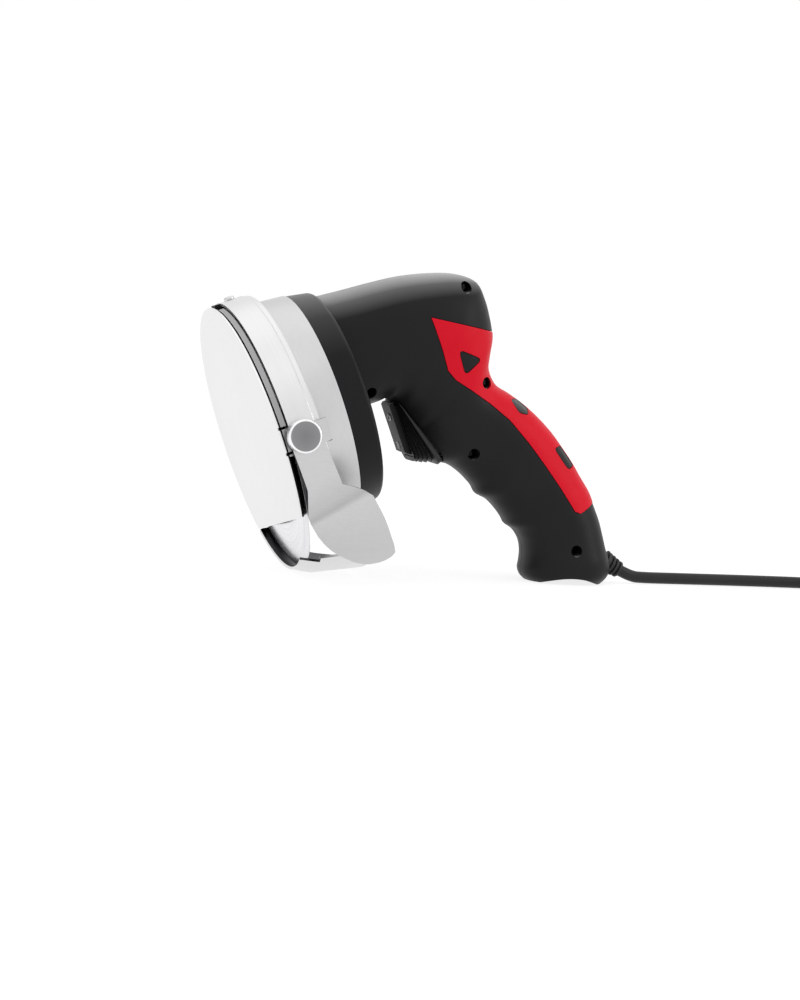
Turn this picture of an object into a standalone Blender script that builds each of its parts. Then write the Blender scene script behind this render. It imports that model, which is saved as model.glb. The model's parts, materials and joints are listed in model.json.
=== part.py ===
"""Electric kebab slicer, standing on its lower guard and the heel of its handle.

Metres, +Z up. The blade is at -X and the cord leaves at +X. The knob of the
thickness guide is on the -Y side. The origin lies on the table, under the
middle of the tool without its cord.
"""
import math

import bmesh
import bpy
from mathutils import Matrix, Vector

MM = 0.001

# Clearances and facets that every piece shares
GAP = 0.3 * MM            # between pieces that seat on each other
OVERRUN = 6.0 * MM        # how far a cutter runs past what it cuts
MERGE = 0.01 * MM
ROUND_STEPS = 48          # large turned pieces
SMALL_STEPS = 16          # bosses, bearings, shafts
SCREW_STEPS = 10
EDGE_STEPS = 3            # facets of a rounded edge

# The middle of the gear case's rear face, along and across the table
CASE_X = -38.6 * MM
CASE_Y = 3.9 * MM

# Gear case and drum. Depths run forward along the blade's axis from the
# case's rear face
TILT = math.radians(21)
AXIS_DROP = 6.5 * MM      # the blade's axis lies this far below the case's middle
CASE_DEPTH = 12.5 * MM
CASE_REAR_R = 50.2 * MM
CASE_FRONT_R = 51.8 * MM
CASE_EDGE_R = 2.4 * MM
CASE_WALL = 3.0 * MM
CASE_FLOOR = 3.2 * MM
DRUM_DEPTH = 14.7 * MM
DRUM_REAR_R = 52.2 * MM
DRUM_FRONT_R = 53.2 * MM
DRUM_WALL = 2.4 * MM
DRUM_FLOOR = 3.0 * MM
DRUM_EDGE_R = 1.0 * MM
DRUM_NOSE = 2.2 * MM      # how far its bearing boss passes through the pan

# Pan round the blade, with a straight cut under the axis
RIM_R = 64.5 * MM         # outside of the pan's band and of the front cover
PAN_DEPTH = 14.7 * MM
PAN_FLOOR = 1.5 * MM
BAND_WALL = 1.3 * MM
BAND_STEP = 0.7 * MM      # the band's rear edge is this much smaller
BAND_STEP_DEPTH = 2.6 * MM
CHORD = 40.0 * MM
CHORD_TURN = math.radians(9.5)
RELIEF_TURNS = (math.radians(55), math.radians(88))
RELIEF_DEPTH = 3.0 * MM   # the band's front edge is lower beside the knob

# Blade, dished at its middle so that its screw stays behind the cover
BLADE_GAP = 0.7 * MM
BLADE_T = 1.2 * MM
BLADE_R = 61.5 * MM
BLADE_BEVEL = 4.0 * MM
BLADE_EDGE = 0.25 * MM
BLADE_DISH = 2.6 * MM
DISH_R = 34.0 * MM
DISH_SLOPE = 7.0 * MM
BLADE_HOLE_R = 6.0 * MM
KEYWAY = 29.6 * MM
KEYWAY_WIDTH = 4.0 * MM
PULLER_PLACE = 27.6 * MM
PULLER_R = 2.4 * MM

# Front cover, its tab and the clips behind it
COVER_GAP = 1.0 * MM
COVER_RIM = 2.2 * MM
COVER_T = 1.2 * MM
COVER_EDGE_R = 1.9 * MM
TAB_TURN = math.radians(95)
TAB_HALF = 4.6 * MM
NOTCH_WIDTH = 1.2 * MM
NOTCH_DEPTH = 0.9 * MM
CLIP_TURNS = (math.radians(184), math.radians(-46.5))
CLIP_HALF = 3.8 * MM
CLIP_T = 0.9 * MM
CLIP_REACH = 12.2 * MM
CLIP_SCREW_BACK = 5.6 * MM
CLIP_SCREW_R = 1.3 * MM
CLIP_HEAD_R = 2.5 * MM
CLIP_HEAD_T = 1.2 * MM

# Bearings and spindle
SPINDLE_R = 4.0 * MM
BEARING_R = 8.0 * MM
BEARING_T = 5.0 * MM
BOSS_WALL = 3.0 * MM
SEAT_FLOOR = 2.0 * MM     # wall left under the bearings
FLANGE_R = 16.0 * MM
FLANGE_T = 2.3 * MM
HUB_R = 9.0 * MM
HEAD_R = 8.5 * MM         # of the screw that holds the blade
HEAD_T = 1.9 * MM
SHANK_R = 2.5 * MM
SHANK = 14.0 * MM
SOCKET_R = 2.9 * MM
SOCKET_DEPTH = 1.3 * MM
HEX = 6

# Gears
MODULE = 1.0 * MM
PINION_TEETH = 12
GEAR_TEETH = 42
PRESSURE = math.radians(20)
BACKLASH = 0.24 * MM
FLANK_STEPS = 2
GEAR_TIP_SHARE = 0.78     # of the module
PINION_TIP_SHARE = 1.0
ROOT_SHARE = 1.25
GEAR_REAR = 9.5 * MM
GEAR_T = 7.0 * MM
PINION_T = 8.0 * MM

# Motor
MOTOR_R = 16.5 * MM
MOTOR_LENGTH = 46.0 * MM
MOTOR_WALL = 1.5 * MM
MOTOR_PLATE = 3.0 * MM
PILOT_R = 6.5 * MM
PILOT = 3.0 * MM
BELL_T = 5.0 * MM
SHAFT_R = 2.0 * MM
MOTOR_BEARING_R = 4.6 * MM
MOTOR_BEARING_T = 3.0 * MM
FAN_R = 13.0 * MM
FAN_T = 4.0 * MM
FAN_DISC = 1.0 * MM
FAN_HUB_R = 4.0 * MM
FAN_BLADES = 9
FAN_BLADE_T = 0.9 * MM
FAN_PLACE = 4.2 * MM      # behind the motor's front face
CORE_R = 11.3 * MM
CORE_LENGTH = 20.0 * MM
CORE_PLACE = 12.5 * MM
CORE_SLOTS = 5
SLOT_WIDTH = 3.6 * MM
SLOT_FLOOR_R = 6.2 * MM
WINDING_R = 9.8 * MM
WINDING_END = 3.2 * MM
MAGNET_T = 2.8 * MM
MAGNET_HALF = math.radians(58)
COMMUTATOR_R = 4.6 * MM
COMMUTATOR_T = 6.0 * MM
COMMUTATOR_PLACE = 37.0 * MM
BRUSH_WIDTH = 3.0 * MM
BRUSH_LENGTH = 7.0 * MM
MOTOR_SCREW_PLACE = 11.5 * MM
MOTOR_SCREW_R = 1.4 * MM
MOTOR_HEAD_R = 2.6 * MM
MOTOR_HEAD_T = 1.8 * MM

# Screws between pan and drum
PAN_SCREWS = 3
PAN_SCREW_PLACE = 36.0 * MM
PAN_SCREW_R = 1.6 * MM
PAN_HEAD_R = 3.2 * MM
PAN_HEAD_T = 1.6 * MM
PAN_BOSS_R = 4.4 * MM
PAN_BOSS = 8.0 * MM

# Lower guard, a sheet strip from the far side to under the blade. Its turns
# are in degrees from straight down, positive towards the near side
SHEET = 1.2 * MM
LIP_DEPTH = 7.5 * MM      # the part that turns in, in front of the blade
LIP_DROP = 4.0 * MM
GUARD_FLARE = math.radians(13)
GUARD_DEPTH = 23.0 * MM   # behind the lip, under the blade
GUARD_END_SHARE = 0.5     # of that depth, where it is screwed on
GUARD_SIDE_SHARE = 0.25   # of the lip's depth, where it lies on the band
GUARD_TURNS = (-75, 33)
GUARD_TURN_STEP = 3
GUARD_LIP_TURNS = (-42, -39)
GUARD_FLARE_TURNS = (-50, -20)
GUARD_DEPTH_TURNS = (-75, -20)
GUARD_SCREW_TURN = math.radians(-69)

# Thickness guide: the strap under the knob and the paddle below it
GUIDE_FORWARD = 5.6 * MM
GUIDE_BACK = 2.4 * MM
GUIDE_FLARE = math.radians(17)
GUIDE_LIFT = 1.5 * MM     # keeps the paddle outside the lower guard
GUIDE_FLARE_TURNS = (85, 35)
GUIDE_TURN_STEP = 3.5
PADDLE_DEPTH = 37.0 * MM
GUIDE_SPANS = 5
# Degrees from straight down, towards the near side, with how far the front and
# rear edges lie behind the strap's front edge, as shares of PADDLE_DEPTH
GUIDE_EDGE_SHARES = [
    (27, 0.660, 0.715), (28, 0.605, 0.810), (30, 0.514, 0.892), (33, 0.432, 0.959),
    (36, 0.351, 0.995), (40, 0.257, 0.980), (45, 0.173, 0.949), (50, 0.105, 0.922),
    (57, 0.043, 0.881), (63.5, 0.013, 0.838), (66, 0.008, 0.749), (68.5, 0.003, 0.622),
    (70.6, 0.0, 0.516), (89, 0.0, 0.516), (89.4, 0.0, 0.565), (98.7, 0.0, 0.565),
]

# Knob that clamps the guide, and its stud
KNOB_TURN = math.radians(94)
KNOB_BACK = 7.4 * MM      # behind the cover's rear edge
KNOB_R = 7.5 * MM
KNOB_T = 5.0 * MM
KNOB_EDGE_R = 0.7 * MM
KNOB_WALL = 1.4 * MM
STUD_R = 2.0 * MM
STUD_FLANGE_R = 4.0 * MM
STUD_FLANGE_T = 0.9 * MM

# Housing: two moulded shells that make barrel and grip
HANDLE_REACH = 135.8 * MM
BARREL_HALF = 27.0 * MM
HOUSING_WALL = 2.4 * MM
PART_LINE = 0.3 * MM      # gap between the shells
SECTION_POWER = 0.84      # 1 is an ellipse, less is squarer
SECTION_STEPS = 24
RING_COUNT = 38
HOLLOW_STEPS = 16
HOLLOW_RINGS = 22
HOLLOW_END_SHARE = 0.94
RIDGE_HEIGHT = 1.2 * MM   # finger ridges on the front of the grip
RIDGE_SHARES = (0.615, 0.74)
RIDGE_WIDTH_SHARE = 0.02
# Back edge, front edge and half width of each section, from the middle of the
# gear case: x by HANDLE_REACH, z by the height of the case, width by BARREL_HALF
STATION_SHARES = [
    (-0.161, 0.521, -0.016, -0.105, 1.00), (-0.032, 0.586, 0.107, -0.027, 1.00),
    (0.071, 0.641, 0.132, -0.007, 0.99), (0.175, 0.690, 0.150, 0.002, 0.98),
    (0.281, 0.718, 0.171, -0.020, 0.96), (0.367, 0.723, 0.190, -0.060, 0.93),
    (0.437, 0.689, 0.205, -0.093, 0.89), (0.470, 0.605, 0.221, -0.126, 0.85),
    (0.493, 0.502, 0.237, -0.158, 0.815), (0.507, 0.401, 0.253, -0.185, 0.78),
    (0.502, 0.304, 0.268, -0.216, 0.76), (0.501, 0.207, 0.288, -0.251, 0.74),
    (0.532, 0.115, 0.311, -0.295, 0.72), (0.585, 0.066, 0.338, -0.339, 0.70),
    (0.638, 0.012, 0.390, -0.357, 0.685), (0.693, -0.056, 0.435, -0.400, 0.67),
    (0.748, -0.140, 0.474, -0.455, 0.67), (0.797, -0.234, 0.504, -0.503, 0.67),
    (0.834, -0.312, 0.543, -0.547, 0.67), (0.867, -0.391, 0.578, -0.600, 0.67),
    (0.901, -0.470, 0.606, -0.652, 0.67), (0.926, -0.556, 0.633, -0.691, 0.67),
    (0.949, -0.641, 0.658, -0.733, 0.67), (0.966, -0.728, 0.676, -0.781, 0.685),
    (0.979, -0.797, 0.684, -0.839, 0.70), (0.993, -0.860, 0.683, -0.897, 0.715),
    (1.000, -0.919, 0.680, -0.937, 0.70), (0.990, -0.963, 0.689, -0.975, 0.67),
    (0.970, -1.000, 0.705, -1.000, 0.59),
]
ARCH_PLACE_SHARE = 0.834  # the hollow under the heel
ARCH_WIDTH = 28.0 * MM
ARCH_DEPTH = 2.8 * MM

# Red inlays, sunk in each shell, with islands of the shell left in them. Their
# outlines are shares of HANDLE_REACH and of the height of the case
INLAY_DEPTH = 1.5 * MM
INLAY_PROUD = 0.25 * MM
INLAY_SHARES = [
    (0.241, 0.475), (0.420, 0.430), (0.580, 0.390), (0.680, 0.100), (1.010, -0.430),
    (0.846, -0.590), (0.824, -0.580), (0.765, -0.450), (0.702, -0.322), (0.635, -0.195),
    (0.564, -0.077), (0.490, 0.010), (0.414, 0.080), (0.350, 0.135), (0.318, 0.185),
    (0.292, 0.290),
]
TRIANGLE_SHARES = [(0.366, 0.310), (0.462, 0.262), (0.398, 0.158)]
DIAMOND_SHARES = [(0.557, 0.032), (0.600, 0.028), (0.642, -0.030), (0.612, -0.052), (0.572, -0.018)]
LOZENGE_SHARES = [(0.745, -0.262), (0.800, -0.296), (0.842, -0.398), (0.790, -0.362)]

# Screws of the housing, as the same shares
HOUSING_SCREW_SHARES = [
    (0.379, 0.654), (0.476, 0.124), (0.059, 0.034), (0.446, -0.282), (0.836, -0.805),
]
BOSS_R = 3.6 * MM
BOSS_HOLE_R = 1.7 * MM
SINK_R = 2.75 * MM
SINK_FLOOR = 7.0 * MM     # the counterbore's floor, from the part line
PEG_R = 1.4 * MM
PEG_HEAD_R = 2.4 * MM
PEG_HEAD_T = 2.0 * MM
PEG_DEPTH = 10.0 * MM

# Switch: the ribbed boot fans out from its top end, on the front of the grip
SWITCH_SHARES = (0.1635, 0.010)
SWITCH_SLOPE = math.radians(47.6)
BOOT_TURNS = (math.radians(-9), math.radians(19.5))
BOOT_START = 1.5 * MM
BOOT_LENGTH = 38.5 * MM
BOOT_HALF = 11.5 * MM
BOOT_CORNER_SHARE = 0.45
BOOT_CORNER_STEPS = 3
PLEATS = 4
PLEAT_DEPTH = 1.3 * MM
# Turn, length and half width as shares of the boot's: neck and flange, then
# the first and last pleats, then its front
BOOT_BASE_SHARES = [(0.0, 0.93, 0.85), (0.31, 0.93, 0.85), (0.33, 1.0, 1.0), (0.45, 1.0, 1.0)]
PLEAT_SHARES = [(0.50, 0.95, 0.96), (0.97, 0.83, 0.91)]
BOOT_FRONT_SHARES = (1.0, 0.825, 0.87)
ROCKER_PLACE = 16.2 * MM  # its pivot, from the boot's top end
ROCKER_LENGTH = 22.5 * MM
ROCKER_HALF = 7.0 * MM
ROCKER_PROUD = 2.8 * MM
PIVOT_DEPTH = 2.4 * MM
ROCKER_RUN = 1.0 * MM     # room for its ends to swing
ROCKER_SHARES = [
    (-1, -0.08), (-1, 0.75), (-0.89, 1), (1.15, 1), (1.235, 0.81), (1.235, 0.56),
    (1, 0.56), (1, -0.08), (0.31, -0.5), (-0.31, -0.5),
]
PIVOT_R = 1.1 * MM
PIVOT_REACH = 0.8 * MM
SWITCH_WALL = 0.8 * MM
SWITCH_TOP = 0.3 * MM
SWITCH_RECESS = 6.5 * MM
SWITCH_DEPTH = 17.0 * MM

# Strain relief at the heel, placed by the same shares
GRIP_SHARES = (0.9845, -0.872)
GRIP_HEADING = math.radians(-27.5)
GRIP_INSIDE = 12.0 * MM
GRIP_OUTSIDE = 9.6 * MM
GRIP_NECK_R = 4.3 * MM
GRIP_NECK = 0.6 * MM
GRIP_FLANGE_R = 5.9 * MM
GRIP_FLANGE_BACK = 6.0 * MM
GRIP_FLANGE_T = 1.8 * MM
GRIP_ROOT_R = 5.4 * MM
GRIP_TIP_R = 4.0 * MM
GRIP_RIBS = 4
GRIP_RIB_DEPTH = 0.9 * MM
RIB_SHARES = (0.2, 0.6, 0.75)     # of a rib's pitch: its top's ends and its foot

# Cord. The stretch that lies free has its own points, on the table
CORD_R = 2.75 * MM
CORD_STEP = 12.0 * MM
CORD_ROUTE = [
    (104.0 * MM, 3.9 * MM, 5.95 * MM), (110.0 * MM, 3.9 * MM, 3.55 * MM),
    (116.0 * MM, 4.0 * MM, 2.87 * MM), (136.0 * MM, 4.8 * MM, 2.85 * MM),
    (162.0 * MM, 6.3 * MM, 2.85 * MM), (190.0 * MM, 6.8 * MM, 2.85 * MM),
    (218.0 * MM, 5.6 * MM, 2.85 * MM), (240.0 * MM, 4.2 * MM, 2.85 * MM),
    (255.7 * MM, 3.9 * MM, 2.85 * MM),
]
COIL_X = 262.0 * MM
COIL_REST = 2.85 * MM     # height of the lowest turns' middle
COIL_INNER_R = 21.3 * MM
COIL_PITCH = 6.0 * MM
COIL_LIFT = 5.95 * MM
COIL_TURNS = 3.75         # in each of the two layers, apart from the climb
COIL_POINTS = 24
COIL_LEAD = 6.0 * MM      # straight run at each end
TAIL = 22.0 * MM
TAIL_DROP = 1.6 * MM
TAIL_SPANS = 4

# Plug
PLUG_LENGTH = 34.0 * MM
PLUG_HALF_WIDTH = 17.5 * MM
PLUG_HALF_HEIGHT = 7.1 * MM
PLUG_NECK_R = 4.4 * MM
PLUG_POWER = 0.6
# Place along the plug, and how far it has widened from its neck
PLUG_SHARES = [
    (0, 0), (0.30, 0.04), (0.45, 0.2), (0.58, 0.62), (0.70, 0.86), (0.85, 0.97), (0.97, 1.0), (1, 0.95),
]
PIN_R = 2.4 * MM
PIN_LENGTH = 19.0 * MM
PIN_HALF_SPACING = 9.5 * MM
PIN_SEAT = 8.0 * MM

# Worked out from the sizes above
FACET = math.cos(math.pi / ROUND_STEPS)   # a facet's middle, as a share of its radius
DRUM_REAR = CASE_DEPTH + GAP
DRUM_FRONT = DRUM_REAR + DRUM_DEPTH
PAN_REAR = DRUM_FRONT + GAP
PAN_FRONT = PAN_REAR + PAN_DEPTH
BLADE_REAR = PAN_FRONT + BLADE_GAP
BLADE_FRONT = BLADE_REAR + BLADE_T
COVER_REAR = BLADE_FRONT + COVER_GAP
COVER_FRONT = COVER_REAR + COVER_RIM
DISH_REAR = BLADE_REAR - BLADE_DISH
DISH_FRONT = BLADE_FRONT - BLADE_DISH
STRAP_R = RIM_R + GAP     # inside of the guide's strap and of the lower guard
LIP_START = COVER_FRONT - LIP_DEPTH
CASE_Z = (AXIS_DROP + STRAP_R) * math.cos(TILT) + LIP_START * math.sin(TILT) + SHEET
GEAR_CENTRES = MODULE * (PINION_TEETH + GEAR_TEETH) / 2
BEARING_BORE_R = SPINDLE_R + GAP
SEAT_R = BEARING_R + GAP
BOSS_OUTER_R = SEAT_R + BOSS_WALL
REAR_BEARING = SEAT_FLOOR + GAP
FRONT_SHOULDER = DRUM_FRONT - SEAT_FLOOR
FRONT_BEARING = FRONT_SHOULDER - GAP - BEARING_T
FLANGE_FRONT = DISH_REAR - GAP
BAND_INNER_R = RIM_R - BAND_WALL
BAND_SEAT_R = (BAND_INNER_R - GAP) * FACET    # what lies flat inside the band
KNOB_SEAT = STRAP_R + SHEET + GAP
KNOB_DEPTH = COVER_REAR - KNOB_BACK
CLIP_SCREW_DEPTH = PAN_FRONT - CLIP_SCREW_BACK
MOTOR_REAR = -GAP - MOTOR_LENGTH
COIL_OUTER_R = COIL_INNER_R + (COIL_TURNS + 1 / 4) * COIL_PITCH
COIL_Y = CASE_Y - COIL_OUTER_R


def collection(name):
    """A collection of its own under the scene."""
    made = bpy.data.collections.new(name)
    bpy.context.scene.collection.children.link(made)
    return made


def material(name, colour, roughness, metallic=0.0):
    made = bpy.data.materials.new(name)
    made.use_nodes = True
    shader = made.node_tree.nodes["Principled BSDF"]
    shader.inputs["Base Color"].default_value = (*colour, 1)
    shader.inputs["Roughness"].default_value = roughness
    shader.inputs["Metallic"].default_value = metallic
    made.diffuse_color = (*colour, 1)
    return made


for old in list(bpy.data.objects):
    bpy.data.objects.remove(old, do_unlink=True)
PARTS = collection("kebab_slicer")
CUTTERS = collection("cutters")

BLACK = material("black_plastic", (0.018, 0.018, 0.019), 0.5)
RUBBER = material("black_rubber", (0.012, 0.012, 0.012), 0.65)
RED = material("red_plastic", (0.72, 0.02, 0.03), 0.45)
STEEL = material("brushed_steel", (0.62, 0.62, 0.63), 0.32, 1.0)
ALLOY = material("cast_alloy", (0.60, 0.60, 0.61), 0.45, 1.0)
BLADE_STEEL = material("blade_steel", (0.70, 0.70, 0.71), 0.2, 1.0)
COPPER = material("copper", (0.65, 0.28, 0.14), 0.4, 1.0)
MAGNET = material("magnet", (0.10, 0.10, 0.11), 0.6)
BRASS = material("brass", (0.70, 0.52, 0.25), 0.35, 1.0)


def frame(name, parent, matrix):
    """An empty that carries pieces, placed in its parent's space."""
    made = bpy.data.objects.new(name, None)
    PARTS.objects.link(made)
    made.parent = parent
    made.matrix_basis = matrix
    return made


def add(name, data, parent, look):
    """An object for one piece, or a cutter where it has no look."""
    item = bpy.data.objects.new(name, data)
    item.parent = parent
    if look is None:
        CUTTERS.objects.link(item)
        item.hide_render = True
        item.display_type = "WIRE"
    else:
        PARTS.objects.link(item)
        data.materials.append(look)
    return item


def from_bmesh(name, shape, parent, look):
    mesh = bpy.data.meshes.new(name)
    bmesh.ops.recalc_face_normals(shape, faces=shape.faces)
    shape.to_mesh(mesh)
    shape.free()
    mesh.shade_smooth()
    mesh.set_sharp_from_angle(angle=math.radians(35))
    return add(name, mesh, parent, look)


def boolean(item, operation, others):
    for other in others:
        step = item.modifiers.new(f"{operation.title()} {other.name}", "BOOLEAN")
        step.operation = operation
        step.object = other
        step.solver = "MANIFOLD"
    return item


def carve(item, *cutters):
    return boolean(item, "DIFFERENCE", cutters)


def join(item, *others):
    return boolean(item, "UNION", others)


def lathe(name, profile, parent, look=None, steps=ROUND_STEPS, closed=False):
    """A turned piece. Its profile runs down its outer side; a ring's closes."""
    mesh = bpy.data.meshes.new(name)
    edges = [(i, i + 1) for i in range(len(profile) - 1)]
    if closed:
        edges.append((len(profile) - 1, 0))
    mesh.from_pydata([(radius, 0, depth) for radius, depth in profile], edges, [])
    item = add(name, mesh, parent, look)
    turn = item.modifiers.new("Turn", "SCREW")
    turn.steps = steps
    turn.render_steps = steps
    turn.use_merge_vertices = True
    turn.merge_threshold = MERGE
    turn.use_smooth_shade = True
    return item


def ring(name, inner, outer, low, high, parent, look=None, steps=SMALL_STEPS):
    """A plain washer or bush."""
    profile = [(inner, high), (outer, high), (outer, low), (inner, low)]
    return lathe(name, profile, parent, look, steps, closed=True)


def rounded(radius, depth, size, start):
    """Points of a quarter-turn corner about its centre, clockwise from start."""
    turns = [start - math.pi / 2 * i / EDGE_STEPS for i in range(EDGE_STEPS + 1)]
    return [(radius + size * math.cos(turn), depth + size * math.sin(turn)) for turn in turns]


def rod(name, radius, low, high, parent, look=None, place=(0, 0), steps=SMALL_STEPS):
    """A cylinder along its parent's Z."""
    shape = bmesh.new()
    middle = Matrix.Translation((*place, (low + high) / 2))
    bmesh.ops.create_cone(shape, cap_ends=True, segments=steps, radius1=radius,
                          radius2=radius, depth=high - low, matrix=middle)
    return from_bmesh(name, shape, parent, look)


def box(name, low, high, parent, look=None):
    """A box between two corners."""
    low, high = Vector(low), Vector(high)
    place = Matrix.Translation((low + high) / 2) @ Matrix.Diagonal((*(high - low), 1))
    shape = bmesh.new()
    bmesh.ops.create_cube(shape, size=1, matrix=place)
    return from_bmesh(name, shape, parent, look)


def prism(name, outline, direction, parent, look=None):
    """A flat outline of points, extruded along a vector."""
    shape = bmesh.new()
    face = shape.faces.new([shape.verts.new(point) for point in outline])
    made = bmesh.ops.extrude_face_region(shape, geom=[face])
    moved = [part for part in made["geom"] if isinstance(part, bmesh.types.BMVert)]
    bmesh.ops.translate(shape, verts=moved, vec=direction)
    return from_bmesh(name, shape, parent, look)


def skin(name, rings, parent, look=None):
    """A capped loft through closed rings of equal numbers of points."""
    shape = bmesh.new()
    rows = [[shape.verts.new(point) for point in row] for row in rings]
    for row, following in zip(rows, rows[1:]):
        for i in range(len(row)):
            j = (i + 1) % len(row)
            shape.faces.new((row[i], row[j], following[j], following[i]))
    shape.faces.new(rows[0])
    shape.faces.new(list(reversed(rows[-1])))
    return from_bmesh(name, shape, parent, look)


def sheet(name, grid, parent, look):
    """Sheet metal on a grid of points, thickened outwards. Its rows follow each
    other towards the near side, and each runs from rear to front."""
    shape = bmesh.new()
    rows = [[shape.verts.new(point) for point in row] for row in grid]
    for row, following in zip(rows, rows[1:]):
        for i in range(len(row) - 1):
            shape.faces.new((row[i], following[i], following[i + 1], row[i + 1]))
    mesh = bpy.data.meshes.new(name)
    shape.to_mesh(mesh)
    shape.free()
    mesh.shade_smooth()
    item = add(name, mesh, parent, look)
    thick = item.modifiers.new("Thickness", "SOLIDIFY")
    thick.thickness = SHEET
    thick.offset = 1
    thick.use_even_offset = True
    return item


def tube(name, points, look, resolution):
    """A round cord through points on the table."""
    curve = bpy.data.curves.new(name, "CURVE")
    curve.dimensions = "3D"
    curve.bevel_depth = CORD_R
    curve.bevel_resolution = resolution
    curve.use_fill_caps = True
    spline = curve.splines.new("POLY")
    spline.points.add(len(points) - 1)
    for place, point in zip(spline.points, points):
        place.co = (*point, 1)
    return add(name, curve, None, look)


def smooth(value):
    """0 up to 0, 1 from 1 on, and a smooth step between."""
    value = min(max(value, 0), 1)
    return value * value * (3 - 2 * value)


def rise(value, ends):
    """A smooth step from 0 at the first end to 1 at the second."""
    return smooth((value - ends[0]) / (ends[1] - ends[0]))


def between(table, position):
    """The values on a smooth curve through a table's rows, 0 to 1 along it."""
    spans = len(table) - 1
    scaled = min(max(position, 0), 1) * spans
    index = min(int(scaled), spans - 1)
    part = scaled - index
    rows = (table[max(index - 1, 0)], table[index], table[index + 1],
            table[min(index + 2, spans)])
    values = []
    for before, start, end, after in zip(*rows):
        slope = (end - before) / 2
        end_slope = (after - start) / 2
        cubic = 2 * (start - end) + slope + end_slope
        square = 3 * (end - start) - 2 * slope - end_slope
        values.append(((cubic * part + square) * part + slope) * part + start)
    return values


def grown(outline, amount):
    """A flat outline in X and Z, moved outwards on every side."""
    following = outline[1:] + outline[:1]
    area = sum(a.x * b.z - b.x * a.z for a, b in zip(outline, following))
    side = math.copysign(1, area)
    made = []
    for before, here, after in zip(outline[-1:] + outline[:-1], outline, following):
        arriving = (here - before).normalized()
        leaving = (after - here).normalized()
        first = Vector((arriving.z, 0, -arriving.x)) * side
        second = Vector((leaving.z, 0, -leaving.x)) * side
        corner = (first + second).normalized()
        made.append(here + corner * amount / corner.dot(first))
    return made


# The tool's frames. The head's frames have Z forward along the blade's axis
# and X up in the plane of the disc
TOOL = frame("tool", None, Matrix.Translation((CASE_X, CASE_Y, CASE_Z)))
HEAD = frame("head", TOOL, Matrix.Rotation(-(math.pi / 2 + TILT), 4, "Y"))
BLADE_AXIS = frame("blade_axis", HEAD, Matrix.Translation((-AXIS_DROP, 0, 0)))
MOTOR_AXIS = frame("motor_axis", HEAD, Matrix.Translation((GEAR_CENTRES - AXIS_DROP, 0, 0)))


def on_rim(turn, radius, depth):
    """A point round the head's axes. The turn is 0 straight down and grows
    towards the near side."""
    return Vector((-radius * math.cos(turn), -radius * math.sin(turn), depth))


def rim_frame(name, turn, depth):
    """A frame on the blade's axis with Z outwards at a turn, and X forward."""
    outward = on_rim(turn, 1, 0)
    ahead = Vector((0, 0, 1))
    axes = Matrix((ahead, outward.cross(ahead), outward)).transposed()
    return frame(name, BLADE_AXIS, Matrix.Translation((0, 0, depth)) @ axes.to_4x4())


def side_frame(name, x_share, z_share):
    """A frame in the housing's part line, with Z towards the near side."""
    place = Matrix.Translation((x_share * HANDLE_REACH, 0, z_share * CASE_Z))
    return frame(name, TOOL, place @ Matrix.Rotation(math.pi / 2, 4, "X"))


def turned_frame(name, parent, place, turn):
    """A frame at a place, turned about Y."""
    return frame(name, parent, Matrix.Translation(place) @ Matrix.Rotation(turn, 4, "Y"))


def housing_place(shares):
    return Vector((shares[0] * HANDLE_REACH, 0, shares[1] * CASE_Z))


# Frames of the smaller groups
KNOB = rim_frame("knob_axis", KNOB_TURN, KNOB_DEPTH)
CLIPS = [rim_frame(f"clip_place_{i + 1}", turn, CLIP_SCREW_DEPTH) for i, turn in enumerate(CLIP_TURNS)]
GUARD_SCREW = rim_frame("guard_screw_place", GUARD_SCREW_TURN, CLIP_SCREW_DEPTH)
HOUSING_SCREWS = [side_frame(f"housing_screw_place_{i + 1}", *shares)
                  for i, shares in enumerate(HOUSING_SCREW_SHARES)]
SWITCH = turned_frame("switch", TOOL, housing_place(SWITCH_SHARES), SWITCH_SLOPE - math.pi)
FACE = turned_frame("switch_face", SWITCH, (0, 0, 0), BOOT_TURNS[1])
ROCKER = turned_frame("rocker_axis", FACE, (-ROCKER_PLACE, 0, -PIVOT_DEPTH), 0)
PIVOT = frame("rocker_pivot_axis", ROCKER, Matrix.Rotation(math.pi / 2, 4, "X"))
GRIP = turned_frame("cord_grip_axis", TOOL, housing_place(GRIP_SHARES), math.pi / 2 - GRIP_HEADING)
CORD_START = Vector((CASE_X, CASE_Y, CASE_Z)) + GRIP.matrix_basis @ Vector((0, 0, GRIP_OUTSIDE + GAP))
ISLANDS = (("triangle", TRIANGLE_SHARES), ("diamond", DIAMOND_SHARES), ("lozenge", LOZENGE_SHARES))


def sector(inner, outer, turns, depth):
    """Points round a sector of a ring."""
    steps = max(2, round(abs(turns[1] - turns[0]) * ROUND_STEPS / math.tau))
    places = [turns[0] + (turns[1] - turns[0]) * i / steps for i in range(steps + 1)]
    outside = [on_rim(place, outer, depth) for place in places]
    return outside + [on_rim(place, inner, depth) for place in reversed(places)]


def chord_cutter(name):
    """Everything below the straight cut under the blade's axis."""
    turned = frame(name + "_place", BLADE_AXIS, Matrix.Rotation(CHORD_TURN, 4, "Z"))
    low = (-RIM_R - OVERRUN, -RIM_R - OVERRUN, DRUM_FRONT - OVERRUN)
    high = (-CHORD, RIM_R + OVERRUN, COVER_FRONT + OVERRUN)
    return box(name, low, high, turned)


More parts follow.
